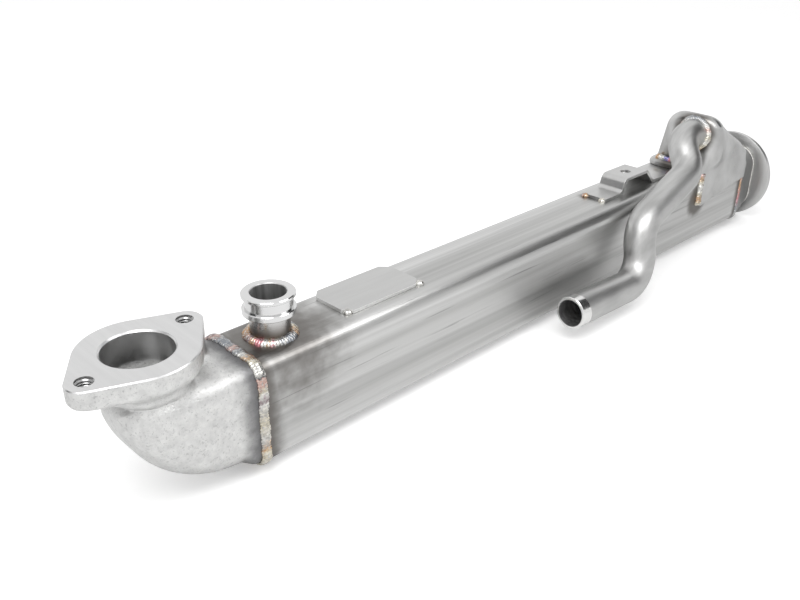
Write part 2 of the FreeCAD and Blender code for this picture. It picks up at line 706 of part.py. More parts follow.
# Coolant manifold: a pressed dome that falls towards the rear, with a lip and a side skirt
def rounded_wire(points, x):
    """A closed wire across X; each point holds y, z and the radius of its corner."""
    edges = []
    count = len(points)
    joints = []
    for k in range(count):
        before, here, after = points[k - 1], points[k], points[(k + 1) % count]
        spot = Vector(x, here[0], here[1])
        back = (Vector(x, before[0], before[1]) - spot).normalize()
        ahead = (Vector(x, after[0], after[1]) - spot).normalize()
        if here[2] == 0:
            joints.append((spot, None, spot))
            continue
        turn = math.pi - back.getAngle(ahead)
        trim = here[2] * math.tan(turn / 2)
        inner = here[2] * (1 / math.cos(turn / 2) - 1)
        apex = spot + (back + ahead).normalize() * inner
        joints.append((spot + back * trim, apex, spot + ahead * trim))
    for k, (start, apex, end) in enumerate(joints):
        if apex is not None:
            edges.append(Part.Arc(start, apex, end).toShape())
        edges.append(Part.LineSegment(end, joints[(k + 1) % count][0]).toShape())
    return Part.Wire(edges)


# Stations in the rounded front, as shares of its depth
NOSE_SHARES = (0.0, 0.12, 0.42)
# Stations behind it: share of the length left, fall of the crown, swell of the side
LEAST_SWELL = 0.02
DOME_STATIONS = (
    (0.0, 0.04, 0.85), (0.13, 0.13, 0.51), (0.3, 0.27, 0.21), (0.51, 0.47, 0.06),
    (0.68, 0.66, LEAST_SWELL), (0.84, 0.84, LEAST_SWELL), (1.0, 1.0, LEAST_SWELL))
# A low section keeps its corners within these shares of its height
CROWN_SHARE = 0.8
BELLY_SHARE = 0.33


def drawn_in(radius, depth):
    """How far a rounded edge has drawn in at a depth behind its front."""
    return radius - math.sqrt(radius ** 2 - max(radius - depth, 0.0) ** 2)


def dome_section(depth, fall, swell, inset):
    """The dome's outline at one depth, from the foot of its far side round to the skirt."""
    roof = -size("gasket_to_shell")
    floor = roof - size("shell_corner") - size("dome_wall")
    height = size("dome_height") + (size("dome_end_height") - size("dome_height")) * fall
    edge = inset + drawn_in(size("dome_edge") - inset, depth)
    nose = inset + drawn_in(size("dome_nose") - inset, depth)
    side = -size("shell_width") / 2 - size("dome_wall") + size("skirt_step") + inset
    far = size("dome_far") - size("dome_narrow") * fall - edge
    near = side - inset - size("dome_bulge") * swell + nose
    if inset > 0:
        # The hollow is nowhere narrower than the hollow of the skirt
        near = min(near, side - LEAST_SWELL * size("dome_bulge"))
    top = roof + height - edge
    low = roof + min(size("dome_under"), BELLY_SHARE * height)
    bend = max(min(size("dome_corner"), CROWN_SHARE * (top - low)) - inset, size("turned_edge"))
    belly = size("dome_belly")
    return rounded_wire([
        (far + size("dome_splay"), floor, 0), (far, top, bend), (near, top, bend),
        (near, low, belly), (side, roof - size("dome_tuck"), belly), (side, floor, 0)],
        dome_front() + inset + depth)


def dome_solid(inset):
    """The dome from its front to its rear; inset gives the hollow inside the sheet."""
    nose = size("dome_nose") - inset
    wires = [dome_section(nose * share, 0.0, 1.0, inset) for share in NOSE_SHARES]
    for share, fall, swell in DOME_STATIONS:
        depth = nose + (size("dome_length") - size("dome_nose")) * share
        wires.append(dome_section(depth, fall, swell, inset))
    solid = Part.makeLoft(wires, True, False)
    if solid.Volume < 0:
        solid.reverse()
    return solid


def shell_tool(name):
    return block(name, SHELL_NEAR, "shell_length", "shell_width",
                 SHELL_BOTTOM, SHELL_TOP, "shell_corner")


def make_lip():
    """The foot of the dome, turned out ahead of it and along its far side."""
    body = new_body("dome_lip")
    sketch = new_sketch(body, "XY_Plane", "lip_outline", SHELL_TOP)
    near = DOME_FRONT + " - lip_length"
    polygon(sketch, [(near, "-shell_width / 2 + shell_corner / 2"),
                     (SHELL_FAR, "-shell_width / 2 + shell_corner / 2"),
                     (SHELL_FAR, "shell_width / 2 - lip_edge"),
                     (near, "shell_width / 2 - lip_edge")])
    pad = feature(body, "Pad", "lip_pad", sketch, "lip_thick")
    front = dome_front() - size("lip_length")
    far = size("shell_width") / 2 - size("lip_edge")
    roof = -size("gasket_to_shell")

    def corner(edge):
        spot = middle_of(edge)
        return along(edge, Z_AXIS) and abs(spot.x - front) < 0.1 and abs(spot.y - far) < 0.1

    def outer(edge):
        spot = middle_of(edge)
        return (spot.z > roof + size("lip_thick") - 0.1
                and (spot.x < front + size("lip_corner") or spot.y > far - 0.1))

    turned = round_edges(body, "lip_corner_rounding", pad, corner, "lip_corner")
    round_edges(body, "lip_rounding", turned, outer, "lip_round")
    return body


def make_skirt():
    """The flat side of the dome, down over the side of the shell."""
    body = new_body("dome_skirt")
    sketch = new_sketch(body, "XZ_Plane", "skirt_outline", "shell_width / 2")
    near = DOME_FRONT + " + skirt_setback"
    polygon(sketch, [(near, SHELL_TOP + " - skirt_drop"), (SHELL_FAR, SHELL_TOP + " - skirt_end_drop"),
                     (SHELL_FAR, SHELL_TOP), (near, SHELL_TOP)])
    feature(body, "Pad", "skirt_pad", sketch, "dome_wall")
    return body


def make_manifold():
    outside = doc.addObject("Part::Feature", "dome_outside")
    outside.Shape = dome_solid(0.0)
    inside = doc.addObject("Part::Feature", "dome_inside")
    inside.Shape = dome_solid(size("dome_wall"))
    span = box("dome_hollow_span", "dome_length - 2 * dome_wall",
               "2 * shell_width", "shell_height + 2 * dome_height",
               (DOME_FRONT + " + dome_wall", "-shell_width", SHELL_BOTTOM))
    hollow = doc.addObject("Part::Common", "dome_hollow")
    hollow.Base = inside
    hollow.Tool = span
    port = cylinder("pipe_port", "pipe_diameter + 2 * sheet_gap", "dome_edge + dome_nose",
                    (DOME_FRONT + " - dome_edge", "-port_offset",
                     SHELL_TOP + " + port_height"), X_AXIS)
    skin = fuse("dome_skin", [outside, make_skirt(), make_lip()])
    hollowed = cut("dome_hollowed", skin, hollow)
    seated = cut("dome_seated", hollowed, shell_tool("dome_seat"))
    return cut("coolant_manifold", seated, port)


# Coolant inlet pipe: one bent tube from the manifold down beside the shell
def pipe_corners():
    """The corners of the pipe's centre line, from the manifold to the open end."""
    radius = size("pipe_diameter") / 2
    side = -size("shell_width") / 2
    roof = -size("gasket_to_shell")
    start = dome_front()
    port = roof + size("port_height")
    floor = roof - size("shell_height") + size("pipe_floor") + radius
    high = side - size("pipe_high_gap") - radius
    low = side - size("pipe_low_gap") - radius
    turn = start - size("pipe_stub")
    knee = turn - size("pipe_knee_run")
    return [Vector(start + size("pipe_entry"), -size("port_offset"), port),
            Vector(turn, -size("port_offset"), port),
            Vector(turn - size("pipe_shoulder_run"), high + size("pipe_shoulder_gap"),
                   roof + size("pipe_shoulder_rise")),
            Vector(knee, high, roof - size("pipe_knee_drop")),
            Vector(knee, low, floor),
            Vector(knee - size("pipe_run"), low, floor + size("pipe_end_rise"))]


def pipe_ring(spot, direction):
    """The pipe's ring-shaped section, square to its centre line."""
    radius = size("pipe_diameter") / 2
    rings = [Part.Face(Part.Wire(Part.Circle(spot, direction, reach).toShape()))
             for reach in (radius, radius - size("pipe_wall"))]
    return rings[0].cut(rings[1])


def make_pipe():
    """Straight runs pushed from the ring and bends turned from it, joined end to end."""
    corners = pipe_corners()
    reach = size("pipe_bend")
    runs = []
    start = corners[0]
    for k in range(1, len(corners) - 1):
        back = (corners[k - 1] - corners[k]).normalize()
        ahead = (corners[k + 1] - corners[k]).normalize()
        turn = math.pi - back.getAngle(ahead)
        enter = corners[k] + back * reach * math.tan(turn / 2)
        hub = corners[k] + (back + ahead).normalize() * (reach / math.cos(turn / 2))
        runs.append(pipe_ring(start, back).extrude(enter - start))
        axis = (back * -1).cross(ahead)
        runs.append(pipe_ring(enter, back).revolve(hub, axis, math.degrees(turn)))
        start = corners[k] + ahead * reach * math.tan(turn / 2)
    back = (corners[-2] - corners[-1]).normalize()
    runs.append(pipe_ring(start, back).extrude(corners[-1] - start))
    tube = runs[0].multiFuse(runs[1:]).removeSplitter()
    mouth = [e for e in tube.Edges if (middle_of(e) - corners[-1]).Length < size("pipe_edge")
             and e.BoundBox.DiagonalLength > size("pipe_diameter")]
    item = doc.addObject("Part::Feature", "coolant_pipe")
    item.Label = "coolant_pipe"
    item.Shape = tube.makeChamfer(size("pipe_edge"), mouth[:1])
    return item


# Inlet adapter: a short cup from the shell's section to the clamp flange
def adapter_form(name, inset):
    body = new_body(name)
    near = section(body, name + "_near", SHELL_FAR, "shell_width - 2 * (%s)" % inset,
                   SHELL_BOTTOM + " + (%s)" % inset, SHELL_TOP + " - (%s)" % inset,
                   "(shell_corner - (%s))" % inset, "(shell_corner - (%s))" % inset)
    middle = "(%s + band_lift)" % SHELL_MIDDLE
    far = section(body, name + "_far", SHELL_FAR + " + adapter_length",
                  "adapter_width - 2 * (%s)" % inset,
                  middle + " - adapter_height / 2 + (%s)" % inset,
                  middle + " + adapter_height / 2 - (%s)" % inset,
                  "(adapter_corner - (%s))" % inset, "(adapter_corner - (%s))" % inset)
    loft(body, "AdditiveLoft", name + "_loft", near, far)
    return body


def make_adapter():
    return cut("inlet_adapter", adapter_form("adapter_outside", "0"),
               adapter_form("adapter_inside", "adapter_wall"))


# Clamp flange: turned, with a conical back for a band clamp
def make_band_flange():
    body = new_body("clamp_flange")
    profile = new_sketch(body, "XZ_Plane", "band_profile")
    face = SHELL_FAR + " + adapter_length"
    axis = "(%s + band_lift)" % SHELL_MIDDLE
    rim = face + " + band_taper"
    end = rim + " + band_rim"
    edge = "turned_edge"
    polygon(profile, [
        (face, axis + " + band_bore / 2"), (face, axis + " + band_hub_radius"),
        (rim, axis + " + band_radius"),
        (end + " - " + edge, axis + " + band_radius"), (end, axis + " + band_radius - " + edge),
        (end, axis + " + band_bore / 2")])
    line = profile.addGeometry(Part.LineSegment(Vector(-5, 0, 0), Vector(5, 0, 0)), True)
    pin_point(profile, line, 1, "spindle_a", SHELL_NEAR, axis)
    pin_point(profile, line, 2, "spindle_b", SHELL_FAR, axis)
    revolve(body, "Revolution", "band_turned", profile, "Axis0")
    return body


# Welds
def bead_ring(name, near, length, height, tools):
    """A raised band round the shell's outline, cut by what it joins."""
    body = new_body(name + "_outside")
    outline = section(body, name + "_outline", near, "shell_width + 2 * (%s)" % height,
                      "%s - %s" % (SHELL_BOTTOM, height), "%s + %s" % (SHELL_TOP, height),
                      "(shell_corner + %s)" % height, "(shell_corner + %s)" % height)
    band = feature(body, "Pad", name + "_pad", outline, length)
    round_edges(body, name + "_crest", band, lambda e: not along(e, X_AXIS),
                "%g * %s" % (CREST_SHARE, height))
    return cut(name, body, fuse(name + "_tools", [shell_tool(name + "_seat")] + tools))


def make_elbow_weld():
    mouth = block("elbow_weld_mouth", SHELL_NEAR + " - weld_width", "weld_width", "shell_width",
                  SHELL_BOTTOM + " + mouth_inset", SHELL_TOP, "shell_corner")
    return bead_ring("elbow_weld", SHELL_NEAR + " - weld_width / 2", "weld_width",
                     "weld_height", [mouth])


def make_adapter_weld():
    return bead_ring("adapter_weld", SHELL_FAR + " - seam_width / 2", "seam_width", "seam_height",
                     [doc.getObject("adapter_outside"), doc.getObject("coolant_manifold")])


def make_pipe_weld():
    body = new_body("pipe_weld_ring")
    profile = new_sketch(body, "XZ_Plane", "pipe_weld_profile", "port_offset")
    front = DOME_FRONT
    axis = "(%s + port_height)" % SHELL_TOP
    foot = axis + " + pipe_diameter / 2"
    leg = "pipe_weld_leg"
    back = front + " + %g * dome_wall" % CREST_SHARE
    polygon(profile, [(back, foot), (back, foot + " + " + leg),
                      (front, foot + " + " + leg),
                      (front + " - %g * %s" % (WELD_SHOULDER, leg),
                       foot + " + %g * %s" % (WELD_BULGE, leg)),
                      (front + " - %g * %s" % (WELD_BULGE, leg),
                       foot + " + %g * %s" % (WELD_SHOULDER, leg)),
                      (front + " - " + leg, foot)])
    line = profile.addGeometry(Part.LineSegment(Vector(-5, 0, 0), Vector(5, 0, 0)), True)
    pin_point(profile, line, 1, "spindle_a", "outlet_to_shell", axis)
    pin_point(profile, line, 2, "spindle_b", front, axis)
    revolve(body, "Revolution", "pipe_weld_turned", profile, "Axis0")
    return cut("pipe_weld", body, doc.getObject("dome_skin"))


def weld_bar(name, length, start, axis):
    """A straight bead with round ends that begins at start and runs along an axis vector."""
    parts = [cylinder(name + "_run", "2 * bead_radius", length, start, axis)]
    ends = [start, tuple(
        "%s + %g * (%s)" % (text, step, length) for text, step in zip(start, axis))]
    for index, place in enumerate(ends):
        ball = doc.addObject("Part::Sphere", "%s_end_%d" % (name, index + 1))
        ball.setExpression("Radius", bound("bead_radius"))
        for letter, text in zip("xyz", place):
            ball.setExpression("Placement.Base." + letter, bound(text))
        parts.append(ball)
    return fuse(name + "_bar", parts)


def make_front_weld():
    """The bead across the shell in the corner between the lip and the dome's front."""
    name = "manifold_front_weld"
    start = (DOME_FRONT + " - bead_radius", "-shell_width / 2 + lip_edge + bead_inset",
             SHELL_TOP + " + lip_thick")
    bar = weld_bar(name, "shell_width - 2 * lip_edge - 2 * bead_inset", start, Y_AXIS)
    tools = fuse(name + "_tools", [shell_tool(name + "_seat"), doc.getObject("dome_skin")])
    return cut(name, bar, tools)


def make_side_weld():
    """The bead down the front edge of the skirt, on the side of the shell."""
    name = "manifold_side_weld"
    start = (DOME_FRONT + " + skirt_setback - bead_radius / 2", "-shell_width / 2",
             SHELL_TOP + " - skirt_drop + bead_radius")
    bar = weld_bar(name, "side_bead_length - 2 * bead_radius", start, Z_AXIS)
    foot = box(name + "_foot", "skirt_setback + 2 * bead_radius", "2 * dome_wall",
               "shell_corner + dome_wall + skirt_step - dome_tuck",
               (DOME_FRONT, "-shell_width / 2 - dome_wall",
                SHELL_TOP + " - shell_corner - dome_wall - skirt_step"))
    tools = fuse(name + "_tools",
                 [shell_tool(name + "_seat"), foot, doc.getObject("dome_skirt")])
    return cut(name, bar, tools)


def make_tacks(name, places, piece):
    """Low round tack welds on the top of the shell against the edge of a piece."""
    blobs = []
    for index, (along_x, across) in enumerate(places):
        blob = doc.addObject("Part::Ellipsoid", "%s_%d" % (name, index + 1))
        blob.setExpression("Radius1", bound("tack_height"))
        blob.setExpression("Radius2", bound("tack_radius"))
        blob.setExpression("Radius3", bound("tack_radius"))
        for letter, text in zip("xyz", (along_x, across, SHELL_TOP)):
            blob.setExpression("Placement.Base." + letter, bound(text))
        blobs.append(blob)
    tools = fuse(name + "_tools", [shell_tool(name + "_seat"), piece])
    return cut(name, fuse(name + "_blobs", blobs), tools)


def make_tag_tacks(tag):
    near = SHELL_NEAR + " + tag_start"
    edge = "tag_shift - tag_width / 2"
    return make_tacks("name_plate_tacks", [
        (near + " + tag_corner / 2", edge + " + tag_corner / 2"),
        (near + " + tag_length - tag_corner / 4", edge + " + tag_corner / 4")], tag)


def make_strap_tacks(strap):
    return make_tacks("bracket_tacks", [
        (STRAP_NEAR, "strap_width / 2 - tack_radius"),
        (STRAP_NEAR, "-strap_width / 2 + tack_radius")], strap)


def check(items):
    """Stop if a feature failed or a finished shape is empty, broken or in the wrong count."""
    bad = [item.Name for item in doc.Objects
           if "Invalid" in item.State or "Error" in item.State]
    bad += [item.Name for item in items
            if item.Shape.isNull() or not item.Shape.isValid() or not item.Shape.Solids]
    if bad:
        raise SystemExit("failed: " + ", ".join(bad))


os.makedirs("parts", exist_ok=True)
tag = make_tag()
strap = make_strap()
pieces = [make_shell_tube(), make_outlet_elbow()] + make_bundle()
pieces += [make_nipple(), make_nipple_weld(), tag, make_tag_tacks(tag), strap,
           make_strap_tacks(strap), make_manifold(), make_front_weld(), make_side_weld(),
           make_pipe(), make_pipe_weld(), make_adapter(), make_band_flange(),
           make_elbow_weld(), make_adapter_weld()]
doc.recompute()
check(pieces)
for piece in pieces:
    size_box = piece.Shape.optimalBoundingBox()
    print("%-20s solids %d volume %8.0f x %7.2f %7.2f y %7.2f %7.2f z %7.2f %7.2f" % (
        piece.Label, len(piece.Shape.Solids), piece.Shape.Volume, size_box.XMin, size_box.XMax,
        size_box.YMin, size_box.YMax, size_box.ZMin, size_box.ZMax))
    piece.Shape.exportStep("parts/%s.step" % piece.Label)
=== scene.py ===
import math

import bpy
from mathutils import Matrix, Vector


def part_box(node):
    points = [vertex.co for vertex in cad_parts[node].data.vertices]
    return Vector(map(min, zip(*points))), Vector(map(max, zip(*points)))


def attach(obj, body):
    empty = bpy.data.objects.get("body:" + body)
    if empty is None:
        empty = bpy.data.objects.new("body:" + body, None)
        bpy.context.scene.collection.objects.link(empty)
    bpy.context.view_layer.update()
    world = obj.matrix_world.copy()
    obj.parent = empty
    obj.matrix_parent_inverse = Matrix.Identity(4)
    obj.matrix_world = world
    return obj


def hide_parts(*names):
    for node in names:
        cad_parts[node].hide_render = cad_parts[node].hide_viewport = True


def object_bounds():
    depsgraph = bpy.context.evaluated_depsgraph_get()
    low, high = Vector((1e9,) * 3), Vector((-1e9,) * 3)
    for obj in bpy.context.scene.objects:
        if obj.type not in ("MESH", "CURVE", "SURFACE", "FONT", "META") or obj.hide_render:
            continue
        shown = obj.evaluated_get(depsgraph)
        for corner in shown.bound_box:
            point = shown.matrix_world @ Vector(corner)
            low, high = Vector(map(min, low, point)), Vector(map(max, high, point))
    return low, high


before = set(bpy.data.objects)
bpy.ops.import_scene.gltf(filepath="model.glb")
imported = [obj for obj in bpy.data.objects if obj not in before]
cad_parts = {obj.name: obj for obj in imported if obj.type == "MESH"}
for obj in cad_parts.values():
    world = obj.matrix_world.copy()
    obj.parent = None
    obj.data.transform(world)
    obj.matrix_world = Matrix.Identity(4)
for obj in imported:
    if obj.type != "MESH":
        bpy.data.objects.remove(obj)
cad_low, cad_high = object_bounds()
bpy.ops.object.select_all(action="DESELECT")

# Shell: a drawn rectangular steel tube that holds the coolant and the gas tubes.
# The mill leaves it with long soft streaks, and most welds on it leave a dark band.
STEEL_GREY = (0.50, 0.50, 0.495, 1)
STEEL_PALE = (0.67, 0.67, 0.665, 1)
TINT_BROWN = (0.14, 0.13, 0.12, 1)
TINT_GREY = (0.17, 0.17, 0.175, 1)
STREAK_SHADE = (0.76, 0.76, 0.755, 1)


def pick(piece):
    """Select one piece alone and make it the active one."""
    bpy.ops.object.select_all(action="DESELECT")
    piece.select_set(True)
    bpy.context.view_layer.objects.active = piece


def carried_over(node, name, angle=32, even=True, edge=0.0):
    """Copy a CAD node into a piece of its own, close its mesh and smooth or round its edges."""
    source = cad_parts[node]
    piece = source.copy()
    piece.data = source.data.copy()
    piece.name = name
    piece.parent = None
    for key in list(piece.keys()):
        del piece[key]
    bpy.context.scene.collection.objects.link(piece)
    pick(piece)
    bpy.ops.object.mode_set(mode="EDIT")
    bpy.ops.mesh.select_all(action="SELECT")
    bpy.ops.mesh.remove_doubles(threshold=0.000002)
    if edge > 0:
        bpy.ops.mesh.dissolve_limited(angle_limit=math.radians(1))
    bpy.ops.object.mode_set(mode="OBJECT")
    if edge > 0:
        bpy.ops.object.modifier_add(type="BEVEL")
        piece.modifiers[-1].width = edge
        piece.modifiers[-1].segments = 2
        piece.modifiers[-1].angle_limit = math.radians(40)
        bpy.ops.object.modifier_apply(modifier=piece.modifiers[-1].name)
    bpy.ops.mesh.customdata_custom_splitnormals_clear()
    bpy.ops.object.shade_smooth_by_angle(angle=math.radians(angle))
    if even:
        bpy.ops.object.modifier_add(type="WEIGHTED_NORMAL")
        piece.modifiers[-1].keep_sharp = True
        bpy.ops.object.modifier_apply(modifier=piece.modifiers[-1].name)
    piece.data.materials.clear()
    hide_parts(node)
    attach(piece, "root")
    return piece


def finish_named(name, color, roughness):
    """A bare metal finish, with its colour and roughness ready to be varied."""
    material = bpy.data.materials.new(name)
    material.use_nodes = True
    shader = material.node_tree.nodes["Principled BSDF"]
    shader.inputs["Base Color"].default_value = color
    shader.inputs["Metallic"].default_value = 1.0
    shader.inputs["Roughness"].default_value = roughness
    return material, material.node_tree, shader


def add_node(tree, kind, **values):
    """Add a node and set its inputs by name."""
    node = tree.nodes.new(kind)
    for name, value in values.items():
        node.inputs[name.replace("_", " ")].default_value = value
    return node


def add_math(tree, operation, first, second):
    """Join two values or sockets by one operation."""
    node = tree.nodes.new("ShaderNodeMath")
    node.operation = operation
    for place, given in enumerate((first, second)):
        if isinstance(given, (int, float)):
            node.inputs[place].default_value = given
        else:
            tree.links.new(given, node.inputs[place])
    return node.outputs["Value"]


def mix_colors(tree, factor, first, second, blend="MIX"):
    """Mix two colours or sockets by a factor."""
    node = tree.nodes.new("ShaderNodeMix")
    node.data_type = "RGBA"
    node.blend_type = blend
    sockets = (node.inputs[0], node.inputs[6], node.inputs[7])
    for socket, given in zip(sockets, (factor, first, second)):
        if isinstance(given, bpy.types.NodeSocket):
            tree.links.new(given, socket)
        else:
            socket.default_value = given
    return node.outputs[2]


def object_place(tree):
    """The object coordinates, which stay on the piece."""
    return tree.nodes.new("ShaderNodeTexCoord").outputs["Object"]


def parts_of(tree, place):
    """The X, Y and Z of a place."""
    split = tree.nodes.new("ShaderNodeSeparateXYZ")
    tree.links.new(place, split.inputs["Vector"])
    return split.outputs


def open_group(name, inputs, outputs):
    """Start a shader group with named inputs and outputs."""
    group = bpy.data.node_groups.new(name, "ShaderNodeTree")
    for label, kind, value in inputs:
        socket = group.interface.new_socket(label, in_out="INPUT", socket_type=kind)
        if value is not None:
            socket.default_value = value
    for label, kind in outputs:
        group.interface.new_socket(label, in_out="OUTPUT", socket_type=kind)
    return group, group.nodes.new("NodeGroupInput"), group.nodes.new("NodeGroupOutput")


def place_group(tree, group, place, **values):
    """Put a group into a material, fed with the object coordinates."""
    node = tree.nodes.new("ShaderNodeGroup")
    node.node_tree = group
    tree.links.new(place, node.inputs["Place"])
    for name, value in values.items():
        socket = node.inputs[name.replace("_", " ")]
        if isinstance(value, bpy.types.NodeSocket):
            tree.links.new(value, socket)
        else:
            socket.default_value = value
    return node


# Long soft streaks of a rolled or drawn surface, and the fine lines in them
streaks, way_in, way_out = open_group(
    "drawn_streaks",
    [("Place", "NodeSocketVector", None), ("Stretch", "NodeSocketVector", (1.0, 1.0, 1.0)),
     ("Broad", "NodeSocketFloat", 90.0), ("Fine", "NodeSocketFloat", 900.0)],
    [("Broad Streak", "NodeSocketFloat"), ("Fine Line", "NodeSocketFloat"),
     ("Scratch", "NodeSocketFloat")])
stretched = streaks.nodes.new("ShaderNodeVectorMath")
stretched.operation = "MULTIPLY"
streaks.links.new(way_in.outputs["Place"], stretched.inputs[0])
streaks.links.new(way_in.outputs["Stretch"], stretched.inputs[1])
for label, source, detail in (("Broad Streak", "Broad", 3.0), ("Fine Line", "Fine", 2.0)):
    noise = add_node(streaks, "ShaderNodeTexNoise", Detail=detail, Roughness=0.55)
    streaks.links.new(stretched.outputs[0], noise.inputs["Vector"])
    streaks.links.new(way_in.outputs[source], noise.inputs["Scale"])
    streaks.links.new(noise.outputs["Fac"], way_out.inputs[label])
# The scratches are the strongest of the fine lines, whose noise was made last
deep = streaks.nodes.new("ShaderNodeMapRange")
deep.inputs["From Min"].default_value = 0.66
deep.inputs["From Max"].default_value = 0.74
streaks.links.new(noise.outputs["Fac"], deep.inputs["Value"])
streaks.links.new(deep.outputs["Result"], way_out.inputs["Scratch"])

# Heat tint beside a weld: a mask that is full at the bead and fades over its width
tint, way_in, way_out = open_group(
    "heat_band",
    [("Place", "NodeSocketVector", None), ("Distance", "NodeSocketFloat", 0.0),
     ("Reach", "NodeSocketFloat", 0.01)],
    [("Mask", "NodeSocketFloat")])
noise = add_node(tint, "ShaderNodeTexNoise", Scale=170.0, Detail=2.0)
tint.links.new(way_in.outputs["Place"], noise.inputs["Vector"])
waver = add_math(tint, "MULTIPLY", add_math(tint, "SUBTRACT", noise.outputs["Fac"], 0.5), 0.5)
share = add_math(tint, "DIVIDE", way_in.outputs["Distance"], way_in.outputs["Reach"])
faded = add_math(tint, "SUBTRACT", 1.0, add_math(tint, "ADD", share, waver))
soft = tint.nodes.new("ShaderNodeMapRange")
soft.interpolation_type = "SMOOTHSTEP"
tint.links.new(faded, soft.inputs["Value"])
tint.links.new(soft.outputs["Result"], way_out.inputs["Mask"])

# Small nicks and specks that handling leaves on bare steel
nicks, way_in, way_out = open_group(
    "handling_nicks",
    [("Place", "NodeSocketVector", None), ("Scale", "NodeSocketFloat", 60.0),
     ("Share", "NodeSocketFloat", 0.06)],
    [("Mask", "NodeSocketFloat")])
cells = add_node(nicks, "ShaderNodeTexVoronoi", Randomness=1.0)
nicks.links.new(way_in.outputs["Place"], cells.inputs["Vector"])
nicks.links.new(way_in.outputs["Scale"], cells.inputs["Scale"])
speck = add_math(nicks, "LESS_THAN", cells.outputs["Distance"], 0.09)
parts = nicks.nodes.new("ShaderNodeSeparateColor")
nicks.links.new(cells.outputs["Color"], parts.inputs["Color"])
chosen = add_math(nicks, "LESS_THAN", parts.outputs["Red"], way_in.outputs["Share"])
nicks.links.new(add_math(nicks, "MULTIPLY", speck, chosen), way_out.inputs["Mask"])


def band_distance(tree, place, axis, centre, half):
    """Distance from a weld that runs round the shell at one place along an axis."""
    gap = add_math(tree, "SUBTRACT", parts_of(tree, place)[axis], centre)
    away = add_math(tree, "ABSOLUTE", gap, 0.0)
    return add_math(tree, "MAXIMUM", add_math(tree, "SUBTRACT", away, half), 0.0)


def spot_distance(tree, place, centre, radius):
    """Distance from a round weld or tack."""
    gap = tree.nodes.new("ShaderNodeVectorMath")
    gap.operation = "DISTANCE"
    tree.links.new(place, gap.inputs[0])
    gap.inputs[1].default_value = centre
    return add_math(tree, "MAXIMUM", add_math(tree, "SUBTRACT", gap.outputs["Value"], radius), 0.0)


def spread(tree, value, low, high):
    """Stretch a value so that low becomes 0 and high becomes 1."""
    node = tree.nodes.new("ShaderNodeMapRange")
    tree.links.new(value, node.inputs["Value"])
    node.inputs["From Min"].default_value = low
    node.inputs["From Max"].default_value = high
    return node.outputs["Result"]


def bump(tree, shader, height, distance, strength=1.0):
    """Feed a height into the shader's normal."""
    node = add_node(tree, "ShaderNodeBump", Strength=strength, Distance=distance)
    tree.links.new(height, node.inputs["Height"])
    tree.links.new(node.outputs["Normal"], shader.inputs["Normal"])


shell = carried_over("shell_tube", "shell")
shell_steel, tree, shader = finish_named("shell_steel_drawn", STEEL_GREY, 0.3)
place = object_place(tree)
lines = place_group(tree, streaks, place, Stretch=(0.012, 1.0, 1.0), Broad=170.0, Fine=1500.0)
mark = place_group(tree, nicks, place, Scale=55.0, Share=0.05)
wide = place_group(tree, streaks, place, Stretch=(0.02, 1.0, 1.0), Broad=60.0, Fine=760.0)
tone = mix_colors(tree, spread(tree, lines.outputs["Broad Streak"], 0.36, 0.64),
                  STEEL_GREY, STEEL_PALE)
tone = mix_colors(tree, spread(tree, wide.outputs["Broad Streak"], 0.62, 0.36), tone,
                  STREAK_SHADE, blend="MULTIPLY")
tone = mix_colors(tree, add_math(tree, "MULTIPLY", wide.outputs["Scratch"], 0.5), tone, TINT_GREY)
elbow_weld_middle = (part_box("elbow_weld")[0].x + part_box("elbow_weld")[1].x) / 2
nipple_low, nipple_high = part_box("coolant_nipple")
nipple_foot = Vector(((nipple_low.x + nipple_high.x) / 2, 0, nipple_low.z))
SIDE_BEAD_SPOT = Vector((0.4424, -0.022, -0.040))
FAR_TACK_SPOT = Vector((0.338, 0.0066, -0.019))
# Depths under the roof between which the shell's side turns duller
DULL_START = 0.007
DULL_FULL = 0.015
masks = []
for distance, reach in (
        (band_distance(tree, place, "X", elbow_weld_middle, 0.003), 0.011),
        (spot_distance(tree, place, nipple_foot, 0.0125), 0.034),
        (spot_distance(tree, place, SIDE_BEAD_SPOT, 0.009), 0.007),
        (spot_distance(tree, place, FAR_TACK_SPOT, 0.002), 0.005),
        (band_distance(tree, place, "X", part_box("adapter_weld")[0].x, 0.001), 0.006)):
    band = place_group(tree, tint, place, Distance=distance, Reach=reach)
    masks.append(band.outputs["Mask"])
heat = masks[0]
for mask in masks[1:]:
    heat = add_math(tree, "MAXIMUM", heat, mask)
tinted = mix_colors(tree, add_math(tree, "MULTIPLY", heat, 0.9), tone, TINT_BROWN)
marked = mix_colors(tree, mark.outputs["Mask"], tinted, STEEL_PALE)
tree.links.new(marked, shader.inputs["Base Color"])
shell_low, shell_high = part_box("shell_tube")
side = spread(tree, parts_of(tree, place)["Z"], shell_high.z - DULL_START,
              shell_high.z - DULL_FULL)
rough = add_math(tree, "ADD", 0.22, add_math(tree, "MULTIPLY", lines.outputs["Broad Streak"], 0.2))
rough = add_math(tree, "ADD", rough, add_math(tree, "MULTIPLY", side, 0.14))
tree.links.new(rough, shader.inputs["Roughness"])
height = add_math(tree, "ADD", add_math(tree, "MULTIPLY", lines.outputs["Fine Line"], 0.3),
                  lines.outputs["Broad Streak"])
bump(tree, shader, height, distance=0.0004, strength=0.5)
shell.data.materials.append(shell_steel)

